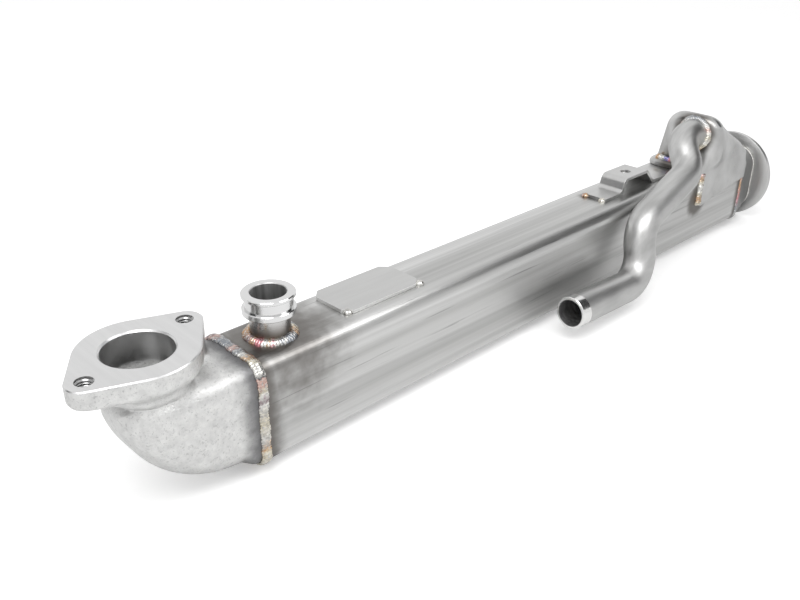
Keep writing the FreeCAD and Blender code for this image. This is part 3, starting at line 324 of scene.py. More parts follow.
# Core: gas tubes brazed into two tube plates, with thin support plates between them.
# Plain steel that stays out of sight, apart from a glimpse through the nipple.
def streaky_steel(name, color, roughness, tones, **streak):
    """Bare steel whose colour runs in streaks between a dark and a pale tone."""
    material, tree, shader = finish_named(name, color, roughness)
    lines = place_group(tree, streaks, object_place(tree), **streak)
    tone = mix_colors(tree, lines.outputs["Broad Streak"], tones[0], tones[1])
    tree.links.new(tone, shader.inputs["Base Color"])
    return material, tree, shader, lines.outputs["Fine Line"]


core_steel, tree, shader, fine_line = streaky_steel(
    "core_steel_plain", (0.42, 0.42, 0.42, 1), 0.35,
    ((0.34, 0.34, 0.34, 1), (0.48, 0.48, 0.47, 1)),
    Stretch=(0.05, 1.0, 1.0), Broad=200.0, Fine=1600.0)
bump(tree, shader, fine_line, distance=0.0003, strength=0.4)
for name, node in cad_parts.items():
    if name.startswith(("gas_tube", "support_plate")) or name.endswith("tube_plate"):
        node.data.materials.clear()
        node.data.materials.append(core_steel)

# Outlet elbow: one steel casting with a two-bolt flange, a round throat and a bend.
# Its skin is fine cast grain; the gasket face, the bore and the holes are machined.
CAST_PALE = (0.75, 0.75, 0.74, 1)
CAST_DARK = (0.60, 0.60, 0.595, 1)
CAST_PIT = (0.36, 0.36, 0.36, 1)
MACHINED = (0.70, 0.70, 0.70, 1)
# Depth of the machined slab, and the edge of the gasket face and of the bore in it
MACHINED_DEPTH = 0.0012
FACE_LEVEL = -0.0006
BORE_REACH = 0.0162
BORE_FLOOR = -0.0155
# The neck and the bend flow into each other between these levels, outside the throat
FLOW_LOW = -0.031
FLOW_HIGH = -0.0082
FLOW_END = 0.040
THROAT_REACH = 0.0185

grain, way_in, way_out = open_group(
    "cast_grain",
    [("Place", "NodeSocketVector", None), ("Scale", "NodeSocketFloat", 1500.0)],
    [("Mottle", "NodeSocketFloat"), ("Pit", "NodeSocketFloat"), ("Height", "NodeSocketFloat")])
fine = add_node(grain, "ShaderNodeTexNoise", Detail=4.0, Roughness=0.7)
broad = add_node(grain, "ShaderNodeTexNoise", Scale=210.0, Detail=4.0, Roughness=0.65)
grain.links.new(way_in.outputs["Place"], fine.inputs["Vector"])
grain.links.new(way_in.outputs["Place"], broad.inputs["Vector"])
grain.links.new(way_in.outputs["Scale"], fine.inputs["Scale"])
grain.links.new(broad.outputs["Fac"], way_out.inputs["Mottle"])
pit = grain.nodes.new("ShaderNodeMapRange")
pit.inputs["From Min"].default_value = 0.44
pit.inputs["From Max"].default_value = 0.34
grain.links.new(fine.outputs["Fac"], pit.inputs["Value"])
grain.links.new(pit.outputs["Result"], way_out.inputs["Pit"])
grain.links.new(add_math(grain, "ADD", add_math(grain, "MULTIPLY", fine.outputs["Fac"], 0.8),
                         add_math(grain, "MULTIPLY", broad.outputs["Fac"], 0.8)),
                way_out.inputs["Height"])


def remeshed(piece, voxel, everywhere, flowing, chosen):
    """Mesh a piece evenly, round all its edges a little, and let the chosen corners flow."""
    pick(piece)
    bpy.ops.object.modifier_add(type="REMESH")
    piece.modifiers[-1].mode = "VOXEL"
    piece.modifiers[-1].voxel_size = voxel
    bpy.ops.object.modifier_apply(modifier=piece.modifiers[-1].name)
    for vertex in piece.data.vertices:
        vertex.select = chosen(vertex.co)
    bpy.ops.object.mode_set(mode="EDIT")
    bpy.ops.mesh.select_mode(type="VERT")
    bpy.ops.mesh.vertices_smooth(factor=0.5, repeat=flowing)
    bpy.ops.mesh.select_all(action="SELECT")
    bpy.ops.mesh.vertices_smooth(factor=0.5, repeat=everywhere)
    bpy.ops.object.mode_set(mode="OBJECT")
    bpy.ops.object.shade_smooth()


def cut_level(piece, level, keep_above):
    """Cut a piece at a height and keep the part above or below."""
    pick(piece)
    bpy.ops.object.mode_set(mode="EDIT")
    bpy.ops.mesh.select_all(action="SELECT")
    bpy.ops.mesh.bisect(plane_co=(0, 0, level), plane_no=(0, 0, 1), clear_inner=keep_above,
                        clear_outer=not keep_above)
    bpy.ops.object.mode_set(mode="OBJECT")


casting = carried_over("outlet_elbow", "elbow_casting", angle=35)
rough_casting = casting.copy()
rough_casting.data = casting.data.copy()
bpy.context.scene.collection.objects.link(rough_casting)
remeshed(rough_casting, voxel=0.0008, everywhere=2, flowing=70,
         chosen=lambda spot: FLOW_LOW < spot.z < FLOW_HIGH and spot.x < FLOW_END
         and math.hypot(spot.x, spot.y) > THROAT_REACH)
cut_level(rough_casting, -MACHINED_DEPTH, keep_above=False)
cut_level(casting, -MACHINED_DEPTH, keep_above=True)
rough_casting.select_set(True)
bpy.ops.object.join()
cast_steel, tree, shader = finish_named("cast_steel_skin", CAST_PALE, 0.4)
place = object_place(tree)
skin = place_group(tree, grain, place, Scale=800.0)
tone = mix_colors(tree, spread(tree, skin.outputs["Mottle"], 0.32, 0.68), CAST_DARK, CAST_PALE)
tone = mix_colors(tree, add_math(tree, "MULTIPLY", skin.outputs["Pit"], 0.6), tone, CAST_PIT)
band = place_group(tree, tint, place, Reach=0.013,
                   Distance=band_distance(tree, place, "X", elbow_weld_middle, 0.0028))
tinted = mix_colors(tree, band.outputs["Mask"], tone, TINT_GREY)
tree.links.new(tinted, shader.inputs["Base Color"])
rough = add_math(tree, "ADD", 0.26, add_math(tree, "MULTIPLY", skin.outputs["Mottle"], 0.14))
tree.links.new(rough, shader.inputs["Roughness"])
bump(tree, shader, skin.outputs["Height"], distance=0.0007, strength=0.6)
machined_face, tree, shader, fine_line = streaky_steel(
    "cast_steel_machined", MACHINED, 0.3, ((0.60, 0.60, 0.60, 1), (0.74, 0.74, 0.74, 1)),
    Stretch=(1.0, 0.06, 1.0), Broad=260.0, Fine=2600.0)
bump(tree, shader, fine_line, distance=0.0002, strength=0.35)
casting.data.materials.append(cast_steel)
casting.data.materials.append(machined_face)
for face in casting.data.polygons:
    across = math.hypot(face.center.x, face.center.y)
    in_bore = across < BORE_REACH and face.center.z > BORE_FLOOR
    if face.center.z > FACE_LEVEL or in_bore:
        face.material_index = 1

# Threads: the two bolt holes of the flange are tapped, so a V-shaped ridge winds down
# their walls, cut into the same steel but painted darker, as painted shade inside the holes.
tapped_painted_shade = streaky_steel(
    "tapped_painted_shade_dark", (0.4, 0.4, 0.4, 1), 0.25, ((0.22, 0.22, 0.22, 1), (0.5, 0.5, 0.5, 1)),
    Broad=900.0)[0]
THREAD_PITCH = 0.00125
THREAD_ROOT = 0.00409
THREAD_CREST = 0.0034
THREAD_TURNS = 8
THREAD_START = -0.0114
BOLT_REACH = 0.0302
BOLT_TURN = math.radians(17.5)
# The ridge's section, as distance from the axis and share of the pitch, in the plane's order
ridge = ((THREAD_ROOT, 0), (THREAD_CREST, 0.45), (THREAD_ROOT, 1.0), (THREAD_CREST, 0.55))
for name, side in (("thread_far", 1), ("thread_near", -1)):
    bpy.ops.object.select_all(action="DESELECT")
    bpy.ops.mesh.primitive_plane_add(size=1.0)
    thread = bpy.context.active_object
    thread.name = name
    bpy.ops.object.mode_set(mode="EDIT")
    bpy.ops.mesh.select_all(action="SELECT")
    bpy.ops.mesh.delete(type="ONLY_FACE")
    bpy.ops.object.mode_set(mode="OBJECT")
    for vertex, (out, up) in zip(thread.data.vertices, ridge):
        vertex.co = (out, 0, up * THREAD_PITCH)
    bpy.ops.object.modifier_add(type="SCREW")
    screw = thread.modifiers[-1]
    screw.angle = 2 * math.pi
    screw.screw_offset = THREAD_PITCH
    screw.iterations = THREAD_TURNS
    screw.steps = 24
    screw.render_steps = 24
    screw.use_merge_vertices = False
    bpy.ops.object.modifier_apply(modifier=screw.name)
    bpy.ops.object.mode_set(mode="EDIT")
    bpy.ops.mesh.select_all(action="SELECT")
    bpy.ops.mesh.normals_make_consistent(inside=False)
    bpy.ops.transform.translate(value=(side * BOLT_REACH * math.cos(BOLT_TURN),
                                       side * BOLT_REACH * math.sin(BOLT_TURN), THREAD_START))
    bpy.ops.object.mode_set(mode="OBJECT")
    bpy.ops.object.shade_smooth_by_angle(angle=math.radians(30))
    thread.data.materials.append(tapped_painted_shade)
    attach(thread, "root")

# Coolant nipple: turned from bar, with a top ring, a groove and a collar that a hose
# coupling snaps over, welded upright on the shell. Its bore is duller than its outside.
# Heights over the foot between which the tube darkens: heat tint at the weld, carried up to the
# collar as painted shade.
FOOT_TINT_AND_SHADE_TOP = 0.0145
FOOT_TINT_AND_SHADE_LOW = 0.0045


def bored(piece, axis, middle, reach, material):
    """Give the walls that look in at an axis their own finish."""
    piece.data.materials.append(material)
    for face in piece.data.polygons:
        gap = face.center - middle
        along = gap.dot(axis)
        gap -= axis * along
        if abs(along) < reach and gap.dot(face.normal) < -0.5 * gap.length:
            face.material_index = len(piece.data.materials) - 1


bored_steel, tree, shader = finish_named("bored_steel_dull", (0.5, 0.5, 0.5, 1), 0.5)
place = object_place(tree)
lines = place_group(tree, streaks, place, Stretch=(1.0, 1.0, 0.1), Broad=300.0)
tone = mix_colors(tree, spread(tree, lines.outputs["Broad Streak"], 0.35, 0.65),
                  (0.34, 0.34, 0.34, 1), (0.66, 0.66, 0.66, 1))
tree.links.new(tone, shader.inputs["Base Color"])
nipple = carried_over("coolant_nipple", "nipple", angle=30)
turned_steel, tree, shader = finish_named("turned_steel_bright", (0.72, 0.72, 0.72, 1), 0.12)
place = object_place(tree)
lines = place_group(tree, streaks, place, Stretch=(0.2, 0.2, 1.0), Fine=4000.0)
# Heat tint at the foot, and painted shade on the tube up to the collar.
foot_tint_and_shade = spread(tree, parts_of(tree, place)["Z"], nipple_low.z + FOOT_TINT_AND_SHADE_TOP,
              nipple_low.z + FOOT_TINT_AND_SHADE_LOW)
tone = mix_colors(tree, foot_tint_and_shade, (0.70, 0.70, 0.70, 1), (0.16, 0.14, 0.12, 1))
tree.links.new(tone, shader.inputs["Base Color"])
rough = add_math(tree, "ADD", 0.1, add_math(tree, "MULTIPLY", foot_tint_and_shade, 0.3))
tree.links.new(rough, shader.inputs["Roughness"])
bump(tree, shader, lines.outputs["Fine Line"], distance=0.00015, strength=0.3)
nipple.data.materials.append(turned_steel)
bored(nipple, Vector((0, 0, 1)), nipple_foot, reach=0.05, material=bored_steel)

# Coolant manifold: pressed from sheet in one piece, with a raised dome that takes the pipe,
# a skirt down the side of the shell and a lip that is welded to its top.
# Middle of a darker brown patch round the lip by the front weld: heat tint there, deepened as
# painted shade.
LIP_DARK_SPOT = Vector((0.437, -0.003, -0.014))
# The part of the side that is smoothed more, behind the front edge
FOLD_SETBACK = 0.011
FOLD_SIDE = -0.012
FOLD_LOW = -0.026
FOLD_HIGH = 0.014
manifold = carried_over("coolant_manifold", "manifold", angle=40, even=False)
fold_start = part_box("coolant_manifold")[0].x + FOLD_SETBACK
remeshed(manifold, voxel=0.0007, everywhere=4, flowing=110,
         chosen=lambda spot: spot.x > fold_start and spot.y < FOLD_SIDE
         and FOLD_LOW < spot.z < FOLD_HIGH)
pressed_steel, tree, shader = finish_named("pressed_steel_satin", (0.5, 0.5, 0.495, 1), 0.3)
place = object_place(tree)
lines = place_group(tree, streaks, place, Stretch=(0.4, 1.0, 0.4), Broad=120.0, Fine=1400.0)
tone = mix_colors(tree, spread(tree, lines.outputs["Broad Streak"], 0.35, 0.65),
                  (0.44, 0.44, 0.435, 1), (0.58, 0.58, 0.575, 1))
port_low, port_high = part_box("pipe_weld")
pipe_port = Vector((port_low.x, (port_low.y + port_high.y) / 2, (port_low.z + port_high.z) / 2))
band = place_group(tree, tint, place, Reach=0.006,
                   Distance=spot_distance(tree, place, pipe_port, 0.0125))
# The lip's patch: heat tint by the front weld, deepened as painted shade.
lip_dark_band = place_group(tree, tint, place, Reach=0.012,
                       Distance=spot_distance(tree, place, LIP_DARK_SPOT, 0.006))
tinted = mix_colors(tree, add_math(tree, "MAXIMUM", band.outputs["Mask"], lip_dark_band.outputs["Mask"]),
                    tone, TINT_BROWN)
tree.links.new(tinted, shader.inputs["Base Color"])
rough = add_math(tree, "ADD", 0.22, add_math(tree, "MULTIPLY", lines.outputs["Broad Streak"], 0.16))
tree.links.new(rough, shader.inputs["Roughness"])
bump(tree, shader, lines.outputs["Fine Line"], distance=0.0003, strength=0.3)
manifold.data.materials.append(pressed_steel)

# Coolant pipe: drawn steel tube, bent twice round and down beside the shell, with a
# bright end where the hose slides on.
POLISHED_END = 0.0084
POLISHED_BLEND = 0.0002
RIM_DEPTH = 0.001
pipe = carried_over("coolant_pipe", "pipe", angle=40, even=False)
drawn_steel, tree, shader = finish_named("drawn_steel_satin", (0.58, 0.58, 0.575, 1), 0.25)
place = object_place(tree)
lines = place_group(tree, streaks, place, Stretch=(0.12, 1.0, 0.35), Broad=160.0, Fine=1800.0)
tone = mix_colors(tree, spread(tree, lines.outputs["Broad Streak"], 0.35, 0.65),
                  (0.42, 0.42, 0.415, 1), (0.57, 0.57, 0.565, 1))
open_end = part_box("coolant_pipe")[0].x
polished = spread(tree, parts_of(tree, place)["X"], open_end + POLISHED_END + POLISHED_BLEND,
                  open_end + POLISHED_END - POLISHED_BLEND)
tone = mix_colors(tree, polished, tone, (0.76, 0.76, 0.75, 1))
tree.links.new(tone, shader.inputs["Base Color"])
rough = add_math(tree, "ADD", 0.32, add_math(tree, "MULTIPLY", lines.outputs["Broad Streak"], 0.16))
tree.links.new(add_math(tree, "SUBTRACT", rough, add_math(tree, "MULTIPLY", polished, 0.22)),
               shader.inputs["Roughness"])
bump(tree, shader, lines.outputs["Fine Line"], distance=0.0002, strength=0.35)
pipe.data.materials.append(drawn_steel)
rim = [vertex.co for vertex in pipe.data.vertices if vertex.co.x < open_end + RIM_DEPTH]
rim_middle = sum(rim, Vector((0, 0, 0))) / len(rim)
bored(pipe, Vector((1, 0, 0)), rim_middle, reach=0.04, material=bored_steel)

# Name plate and mounting bracket: cut and folded from sheet, tacked to the top of the shell.
# Their cut edges are painted brighter than their faces, as a painted highlight.
plate_steel, tree, shader, fine_line = streaky_steel(
    "plate_steel_satin", (0.6, 0.6, 0.59, 1), 0.32,
    ((0.48, 0.48, 0.475, 1), (0.60, 0.60, 0.595, 1)),
    Stretch=(0.08, 1.0, 1.0), Broad=220.0, Fine=2400.0)
bump(tree, shader, fine_line, distance=0.0002, strength=0.3)
painted_highlight_edge = streaky_steel(
    "painted_highlight_edge_bright", (0.84, 0.84, 0.83, 1), 0.3,
    ((0.70, 0.70, 0.69, 1), (0.92, 0.92, 0.91, 1)), Broad=700.0)[0]
for node, name in (("name_plate", "bare_plate"), ("mounting_bracket", "bracket")):
    piece = carried_over(node, name, angle=30, edge=0.00025)
    piece.data.materials.append(plate_steel)
    piece.data.materials.append(painted_highlight_edge)
    # Faces that look along Y, and the whole rim of the plate, take the painted highlight.
    for face in piece.data.polygons:
        plate_rim = name == "bare_plate" and abs(face.normal.z) < 0.5
        if abs(face.normal.y) > 0.6 or plate_rim:
            face.material_index = 1

# Inlet adapter and clamp flange: a pressed steel neck that leads from the shell to a turned
# round flange, whose back is a cone for a band clamp.
adapter = carried_over("inlet_adapter", "adapter", angle=35)
# The neck's steel is painted much darker than the rest: painted shade over the whole neck.
neck_painted_shade, tree, shader, fine_line = streaky_steel(
    "neck_painted_shade_satin", (0.34, 0.34, 0.34, 1), 0.3,
    ((0.17, 0.17, 0.17, 1), (0.30, 0.30, 0.295, 1)),
    Stretch=(1.0, 0.3, 0.3), Broad=150.0, Fine=1500.0)
bump(tree, shader, fine_line, distance=0.0002, strength=0.3)
adapter.data.materials.append(neck_painted_shade)
band_flange = carried_over("clamp_flange", "band_flange", angle=30, edge=0.0002)
flange_low, flange_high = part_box("clamp_flange")
flange_middle = (flange_low + flange_high) / 2
turned_satin, tree, shader = streaky_steel(
    "turned_steel_satin", (0.6, 0.6, 0.6, 1), 0.36,
    ((0.52, 0.52, 0.52, 1), (0.68, 0.68, 0.67, 1)), Stretch=(1.0, 0.4, 0.4), Broad=90.0)[:3]
# Fine rings left by turning
TURNING_PITCH = 0.0006
parts = parts_of(tree, object_place(tree))
rise = add_math(tree, "SUBTRACT", parts["Z"], flange_middle.z)
squares = add_math(tree, "ADD", add_math(tree, "MULTIPLY", rise, rise),
                   add_math(tree, "MULTIPLY", parts["Y"], parts["Y"]))
reach = add_math(tree, "SQRT", squares, 0.0)
turns = add_math(tree, "MULTIPLY", reach, 2 * math.pi / TURNING_PITCH)
bump(tree, shader, add_math(tree, "SINE", turns, 0.0), distance=0.00002, strength=0.4)
band_flange.data.materials.append(turned_satin)

# Welds: overlapping ripples of weld metal, each frozen a little behind the torch. Heat has
# tinted them from cream through orange and pink to blue along their length.
WELD_BARE = (0.62, 0.61, 0.59, 1)
WELD_SILVER = (0.74, 0.73, 0.70, 1)
WELD_WHITE = (0.86, 0.85, 0.81, 1)
WELD_CREAM = (0.76, 0.70, 0.56, 1)
WELD_ORANGE = (0.66, 0.43, 0.25, 1)
WELD_PINK = (0.70, 0.48, 0.42, 1)
WELD_ROSE = (0.80, 0.34, 0.38, 1)
WELD_BLUE = (0.26, 0.24, 0.60, 1)
WELD_STEEL = (0.36, 0.38, 0.41, 1)
WELD_PLUM = (0.34, 0.26, 0.28, 1)
WELD_DARK = (0.12, 0.115, 0.12, 1)
SPECKLE_DARK = (0.62, 0.62, 0.62, 1)
SPECKLE_PALE = (1, 1, 1, 1)
RIPPLE_LEAN = math.radians(-16)
SHELL_CORNER = 0.0083


def weld_finish(name, run_of, stops, roughness=0.27):
    """Weld metal whose tint follows its run, from 0 to 1, with a little waver across it."""
    material, tree, shader = finish_named(name, WELD_SILVER, roughness)
    place = object_place(tree)
    noise = add_node(tree, "ShaderNodeTexNoise", Scale=520.0, Detail=2.0)
    tree.links.new(place, noise.inputs["Vector"])
    waver = add_math(tree, "MULTIPLY", add_math(tree, "SUBTRACT", noise.outputs["Fac"], 0.5), 0.09)
    ramp = tree.nodes.new("ShaderNodeValToRGB")
    tree.links.new(add_math(tree, "ADD", run_of(tree, place), waver), ramp.inputs["Fac"])
    while len(ramp.color_ramp.elements) < len(stops):
        ramp.color_ramp.elements.new(0.5)
    for stop, (where, color) in zip(ramp.color_ramp.elements, stops):
        stop.position = where
        stop.color = color
    fleck = add_node(tree, "ShaderNodeTexNoise", Scale=1100.0, Detail=3.0)
    tree.links.new(place, fleck.inputs["Vector"])
    patchy = mix_colors(tree, spread(tree, fleck.outputs["Fac"], 0.50, 0.66),
                        ramp.outputs["Color"], WELD_BARE)
    speckle = mix_colors(tree, spread(tree, noise.outputs["Fac"], 0.35, 0.7),
                         SPECKLE_DARK, SPECKLE_PALE)
    tone = mix_colors(tree, 1.0, patchy, speckle, blend="MULTIPLY")
    tree.links.new(tone, shader.inputs["Base Color"])
    bump(tree, shader, noise.outputs["Fac"], distance=0.0003, strength=0.4)
    return material


def straight_run(direction, start, length):
    """The run along a direction, from a start value over a length."""
    def run_of(tree, place):
        along = tree.nodes.new("ShaderNodeVectorMath")
        along.operation = "DOT_PRODUCT"
        tree.links.new(place, along.inputs[0])
        along.inputs[1].default_value = direction
        travelled = add_math(tree, "SUBTRACT", along.outputs["Value"], start)
        return add_math(tree, "DIVIDE", travelled, length)
    return run_of


def round_run(centre):
    """The run round an upright axis, starting and ending at -X."""
    def run_of(tree, place):
        parts = parts_of(tree, place)
        angle = add_math(tree, "ARCTAN2", add_math(tree, "SUBTRACT", parts["Y"], centre.y),
                         add_math(tree, "SUBTRACT", parts["X"], centre.x))
        return add_math(tree, "ADD", 0.5, add_math(tree, "DIVIDE", angle, 2 * math.pi))
    return run_of


def start_ripple(across, along, high):
    """One ripple: a ball flattened to a dime, with its buried part cut away."""
    bpy.ops.object.select_all(action="DESELECT")
    bpy.ops.mesh.primitive_uv_sphere_add(segments=14, ring_count=8, radius=1.0)
    ripple = bpy.context.active_object
    bpy.ops.object.mode_set(mode="EDIT")
    bpy.ops.mesh.select_all(action="SELECT")
    bpy.ops.mesh.bisect(plane_co=(0, 0, -0.3), plane_no=(0, 0, -1), clear_outer=True)
    bpy.ops.mesh.select_all(action="SELECT")
    bpy.ops.transform.resize(value=(across, along, high), center_override=(0, 0, 0))
    bpy.ops.object.mode_set(mode="OBJECT")
    bpy.ops.object.shade_smooth()
    return ripple


def lay_ripples(name, nodes, material, ripple, seats):
    """Join a copy of the ripple at each seat: its place, way out, way along and size."""
    copies = []
    for middle, outward, travel, size in seats:
        copy = ripple.copy()
        copy.data = ripple.data.copy()
        bpy.context.scene.collection.objects.link(copy)
        turn = Matrix((travel.cross(outward), travel, outward)).transposed().to_4x4()
        lean = Matrix.Rotation(RIPPLE_LEAN, 4, "X")
        copy.data.transform(Matrix.Translation(middle) @ turn @ lean @ Matrix.Scale(size, 4))
        copies.append(copy)
    bpy.data.objects.remove(ripple)
    bpy.ops.object.select_all(action="DESELECT")
    for copy in copies:
        copy.select_set(True)
    bpy.context.view_layer.objects.active = copies[0]
    bpy.ops.object.join()
    bead = bpy.context.active_object
    bead.name = name
    bead.data.materials.append(material)
    for node in nodes:
        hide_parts(node)
    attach(bead, "root")


def hand_held(step):
    """The small change in size from one ripple to the next."""
    return 1 + 0.07 * math.sin(step * 1.7) + 0.05 * math.sin(step * 0.61 + 1)


def round_outline(x, half_wide, half_tall, middle, corner, pitch, lift, wander):
    """Seats of a bead that runs round a rounded rectangle across the shell."""
    flat_wide = half_wide - corner
    flat_tall = half_tall - corner
    quarter = math.pi * corner / 2
    legs = [(Vector((0, flat_wide, flat_tall)), math.pi / 2, 2 * flat_wide),
            (Vector((0, -flat_wide, flat_tall)), math.pi, 2 * flat_tall),
            (Vector((0, -flat_wide, -flat_tall)), 3 * math.pi / 2, 2 * flat_wide),
            (Vector((0, flat_wide, -flat_tall)), 2 * math.pi, 2 * flat_tall)]
    seats = []
    total = 4 * (flat_wide + flat_tall + quarter)
    count = round(total / pitch)
    for step in range(count):
        run = total * step / count
        for start, angle, straight in legs:
            forward = Vector((0, -math.sin(angle), math.cos(angle)))
            if run <= straight + quarter:
                bend = angle + max(run - straight, 0) / corner
                outward = Vector((0, math.cos(bend), math.sin(bend)))
                travel = Vector((0, -math.sin(bend), math.cos(bend)))
                spot = start + forward * min(run, straight) + outward * (corner + lift)
                break
            run -= straight + quarter
        drift = wander * math.sin(step * 0.37) * math.cos(step * 0.11)
        seats.append((spot + Vector((x + drift, 0, middle)), outward, travel, hand_held(step)))
    return seats


# Elbow weld: a wide bead, laid round the shell where the casting meets it. Its tints
# change along its length.
elbow_tint = weld_finish("weld_elbow", straight_run((0, -1, -1), start=0.0, length=0.1), (
    (0.0, WELD_PLUM), (0.04, WELD_PINK), (0.07, WELD_STEEL), (0.15, WELD_STEEL),
    (0.19, WELD_PINK), (0.22, WELD_STEEL), (0.28, WELD_SILVER), (0.31, WELD_ORANGE),
    (0.345, WELD_CREAM), (0.40, WELD_SILVER), (0.45, WELD_WHITE), (0.466, WELD_DARK),
    (0.474, WELD_DARK), (0.485, WELD_PINK), (0.52, WELD_PINK), (0.545, WELD_CREAM),
    (0.575, WELD_WHITE), (0.605, WELD_PLUM), (0.63, WELD_SILVER), (0.72, WELD_CREAM),
    (0.82, WELD_SILVER), (0.87, WELD_ORANGE), (0.90, WELD_CREAM), (1.0, WELD_SILVER)))
shell_half = (shell_high - shell_low) / 2
shell_level = (shell_high.z + shell_low.z) / 2
lay_ripples("elbow_bead", ["elbow_weld"], elbow_tint,
            start_ripple(across=0.0031, along=0.0022, high=0.0015),
            round_outline(elbow_weld_middle, shell_half.y, shell_half.z, shell_level,
                          SHELL_CORNER, pitch=0.0016, lift=-0.0001, wander=0.0004))

# Adapter seam: a narrow flat bead round the shell's other end. Its ripples leave out the
# top, which the manifold covers up to the shell's end, and the rounded top corners.
SEAM_TOP_DEPTH = 0.009
seam_tint = weld_finish("weld_seam", straight_run((0, -1, -1), start=0.0, length=0.1), (
    (0.0, WELD_SILVER), (0.40, WELD_STEEL), (0.52, WELD_ORANGE), (0.60, WELD_PINK),
    (0.68, WELD_ORANGE), (0.78, WELD_ROSE), (0.86, WELD_STEEL), (1.0, WELD_SILVER)))
seam_middle = (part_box("adapter_weld")[0].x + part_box("adapter_weld")[1].x) / 2
seats = round_outline(seam_middle, shell_half.y, shell_half.z, shell_level, SHELL_CORNER,
                      pitch=0.0012, lift=-0.00012, wander=0.0002)
seam_top = shell_high.z - SEAM_TOP_DEPTH
lay_ripples("adapter_bead", ["adapter_weld"], seam_tint,
            start_ripple(across=0.0019, along=0.0013, high=0.00085),
            [seat for seat in seats if seat[0].z < seam_top])

# Nipple weld: a fillet ring of weld metal in the corner between the nipple and the shell,
# with strong tints in short lengths.
NIPPLE_RING = 0.01165
NIPPLE_RIPPLES = 52
NIPPLE_LIFT = 0.0009
nipple_tint = weld_finish("weld_nipple", round_run(nipple_foot), (
    (0.0, WELD_PLUM), (0.035, WELD_ORANGE), (0.06, WELD_ROSE), (0.085, WELD_ROSE),
    (0.105, WELD_WHITE), (0.125, WELD_WHITE), (0.14, WELD_ORANGE), (0.15, WELD_WHITE),
    (0.165, WELD_ROSE), (0.18, WELD_WHITE), (0.20, WELD_SILVER), (0.22, WELD_STEEL),
    (0.24, WELD_WHITE), (0.26, WELD_STEEL), (0.30, WELD_STEEL), (0.34, WELD_DARK),
    (0.38, WELD_ORANGE), (0.43, WELD_CREAM), (0.47, WELD_STEEL), (0.6, WELD_PLUM),
    (0.75, WELD_SILVER), (0.9, WELD_ORANGE), (1.0, WELD_PLUM)))
seats = []
for step in range(NIPPLE_RIPPLES):
    turn = 2 * math.pi * step / NIPPLE_RIPPLES
    radial = Vector((math.cos(turn), math.sin(turn), 0))
    outward = (radial * 0.7 + Vector((0, 0, 1))).normalized()
    level = shell_high.z + NIPPLE_LIFT
    spot = Vector((nipple_foot.x, nipple_foot.y, level)) + radial * NIPPLE_RING
    seats.append((spot, outward, Vector((-radial.y, radial.x, 0)), hand_held(step)))
lay_ripples("nipple_bead", ["nipple_weld"], nipple_tint,
            start_ripple(across=0.0028, along=0.0014, high=0.0013), seats)

# Pipe weld: a fillet ring of weld metal round the port, which follows the dome's front
# back where that is rounded off.
PORT_RING = 0.0112
PORT_RIPPLES = 58
PORT_SINK = 0.0004
DOME_NOSE = 0.012
DOME_SETBACK = 0.009
port_tint = weld_finish("weld_port", straight_run((0, 0, 1), start=-0.006, length=0.03), (
    (0.0, WELD_PLUM), (0.12, WELD_ORANGE), (0.2, WELD_CREAM), (0.34, WELD_WHITE),
    (0.45, WELD_CREAM), (0.55, WELD_WHITE), (0.64, WELD_PINK), (0.72, WELD_SILVER),
    (0.9, WELD_STEEL), (1.0, WELD_SILVER)))
dome_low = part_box("coolant_manifold")[0]
dome_front = dome_low.x + DOME_SETBACK
seats = []
for step in range(PORT_RIPPLES):
    turn = 2 * math.pi * step / PORT_RIPPLES
    radial = Vector((0, math.cos(turn), math.sin(turn)))
    spot = Vector((dome_front, pipe_port.y, pipe_port.z)) + radial * PORT_RING
    short = max(DOME_NOSE - (spot.y - dome_low.y), 0)
    spot.x += DOME_NOSE - math.sqrt(DOME_NOSE ** 2 - short ** 2) - PORT_SINK
    outward = (radial - Vector((1, 0, 0))).normalized()
    seats.append((spot, outward, Vector((0, -radial.z, radial.y)), hand_held(step)))
lay_ripples("port_bead", ["pipe_weld"], port_tint,
            start_ripple(across=0.0024, along=0.0011, high=0.0013), seats)

# Front and side welds of the manifold: two short heavy beads, one along the lip on top of
# the shell and one down the front edge of the skirt.
BEAD_RADIUS = 0.0032
FRONT_RIPPLES = 20
FRONT_INSET = 0.0026
FRONT_PITCH = 0.00122
SIDE_RIPPLES = 21
SIDE_INSET = 0.0028
SIDE_PITCH = 0.0011
front_low, front_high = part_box("manifold_front_weld")
front_run = straight_run((0, -1, 0), -front_high.y, front_high.y - front_low.y)
front_tint = weld_finish("weld_front", front_run, (
    (0.0, WELD_PLUM), (0.04, WELD_ORANGE), (0.13, WELD_ORANGE), (0.18, WELD_WHITE),
    (0.27, WELD_WHITE), (0.31, WELD_STEEL), (0.36, WELD_BLUE), (0.42, WELD_BLUE),
    (0.47, WELD_ROSE), (0.54, WELD_PLUM), (0.8, WELD_STEEL), (1.0, WELD_PLUM)))
seats = []
for step in range(FRONT_RIPPLES):
    y = front_high.y - FRONT_INSET - FRONT_PITCH * step
    middle = Vector((front_low.x + BEAD_RADIUS, y, front_high.z - BEAD_RADIUS))
    seats.append((middle, Vector((-0.6, 0, 0.8)), Vector((0, -1, 0)), hand_held(step)))
lay_ripples("front_bead", ["manifold_front_weld"], front_tint,
            start_ripple(across=0.0031, along=0.0018, high=0.0030), seats)
side_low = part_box("manifold_side_weld")[0]
side_tint = weld_finish("weld_side", straight_run((0, 0, -1), start=0.019, length=0.027), (
    (0.0, WELD_PLUM), (0.08, WELD_PINK), (0.16, WELD_ORANGE), (0.26, WELD_CREAM),
    (0.36, WELD_WHITE), (0.52, WELD_WHITE), (0.62, WELD_CREAM), (0.70, WELD_ORANGE),
    (0.78, WELD_ORANGE), (0.86, WELD_CREAM), (1.0, WELD_WHITE)))
seats = []
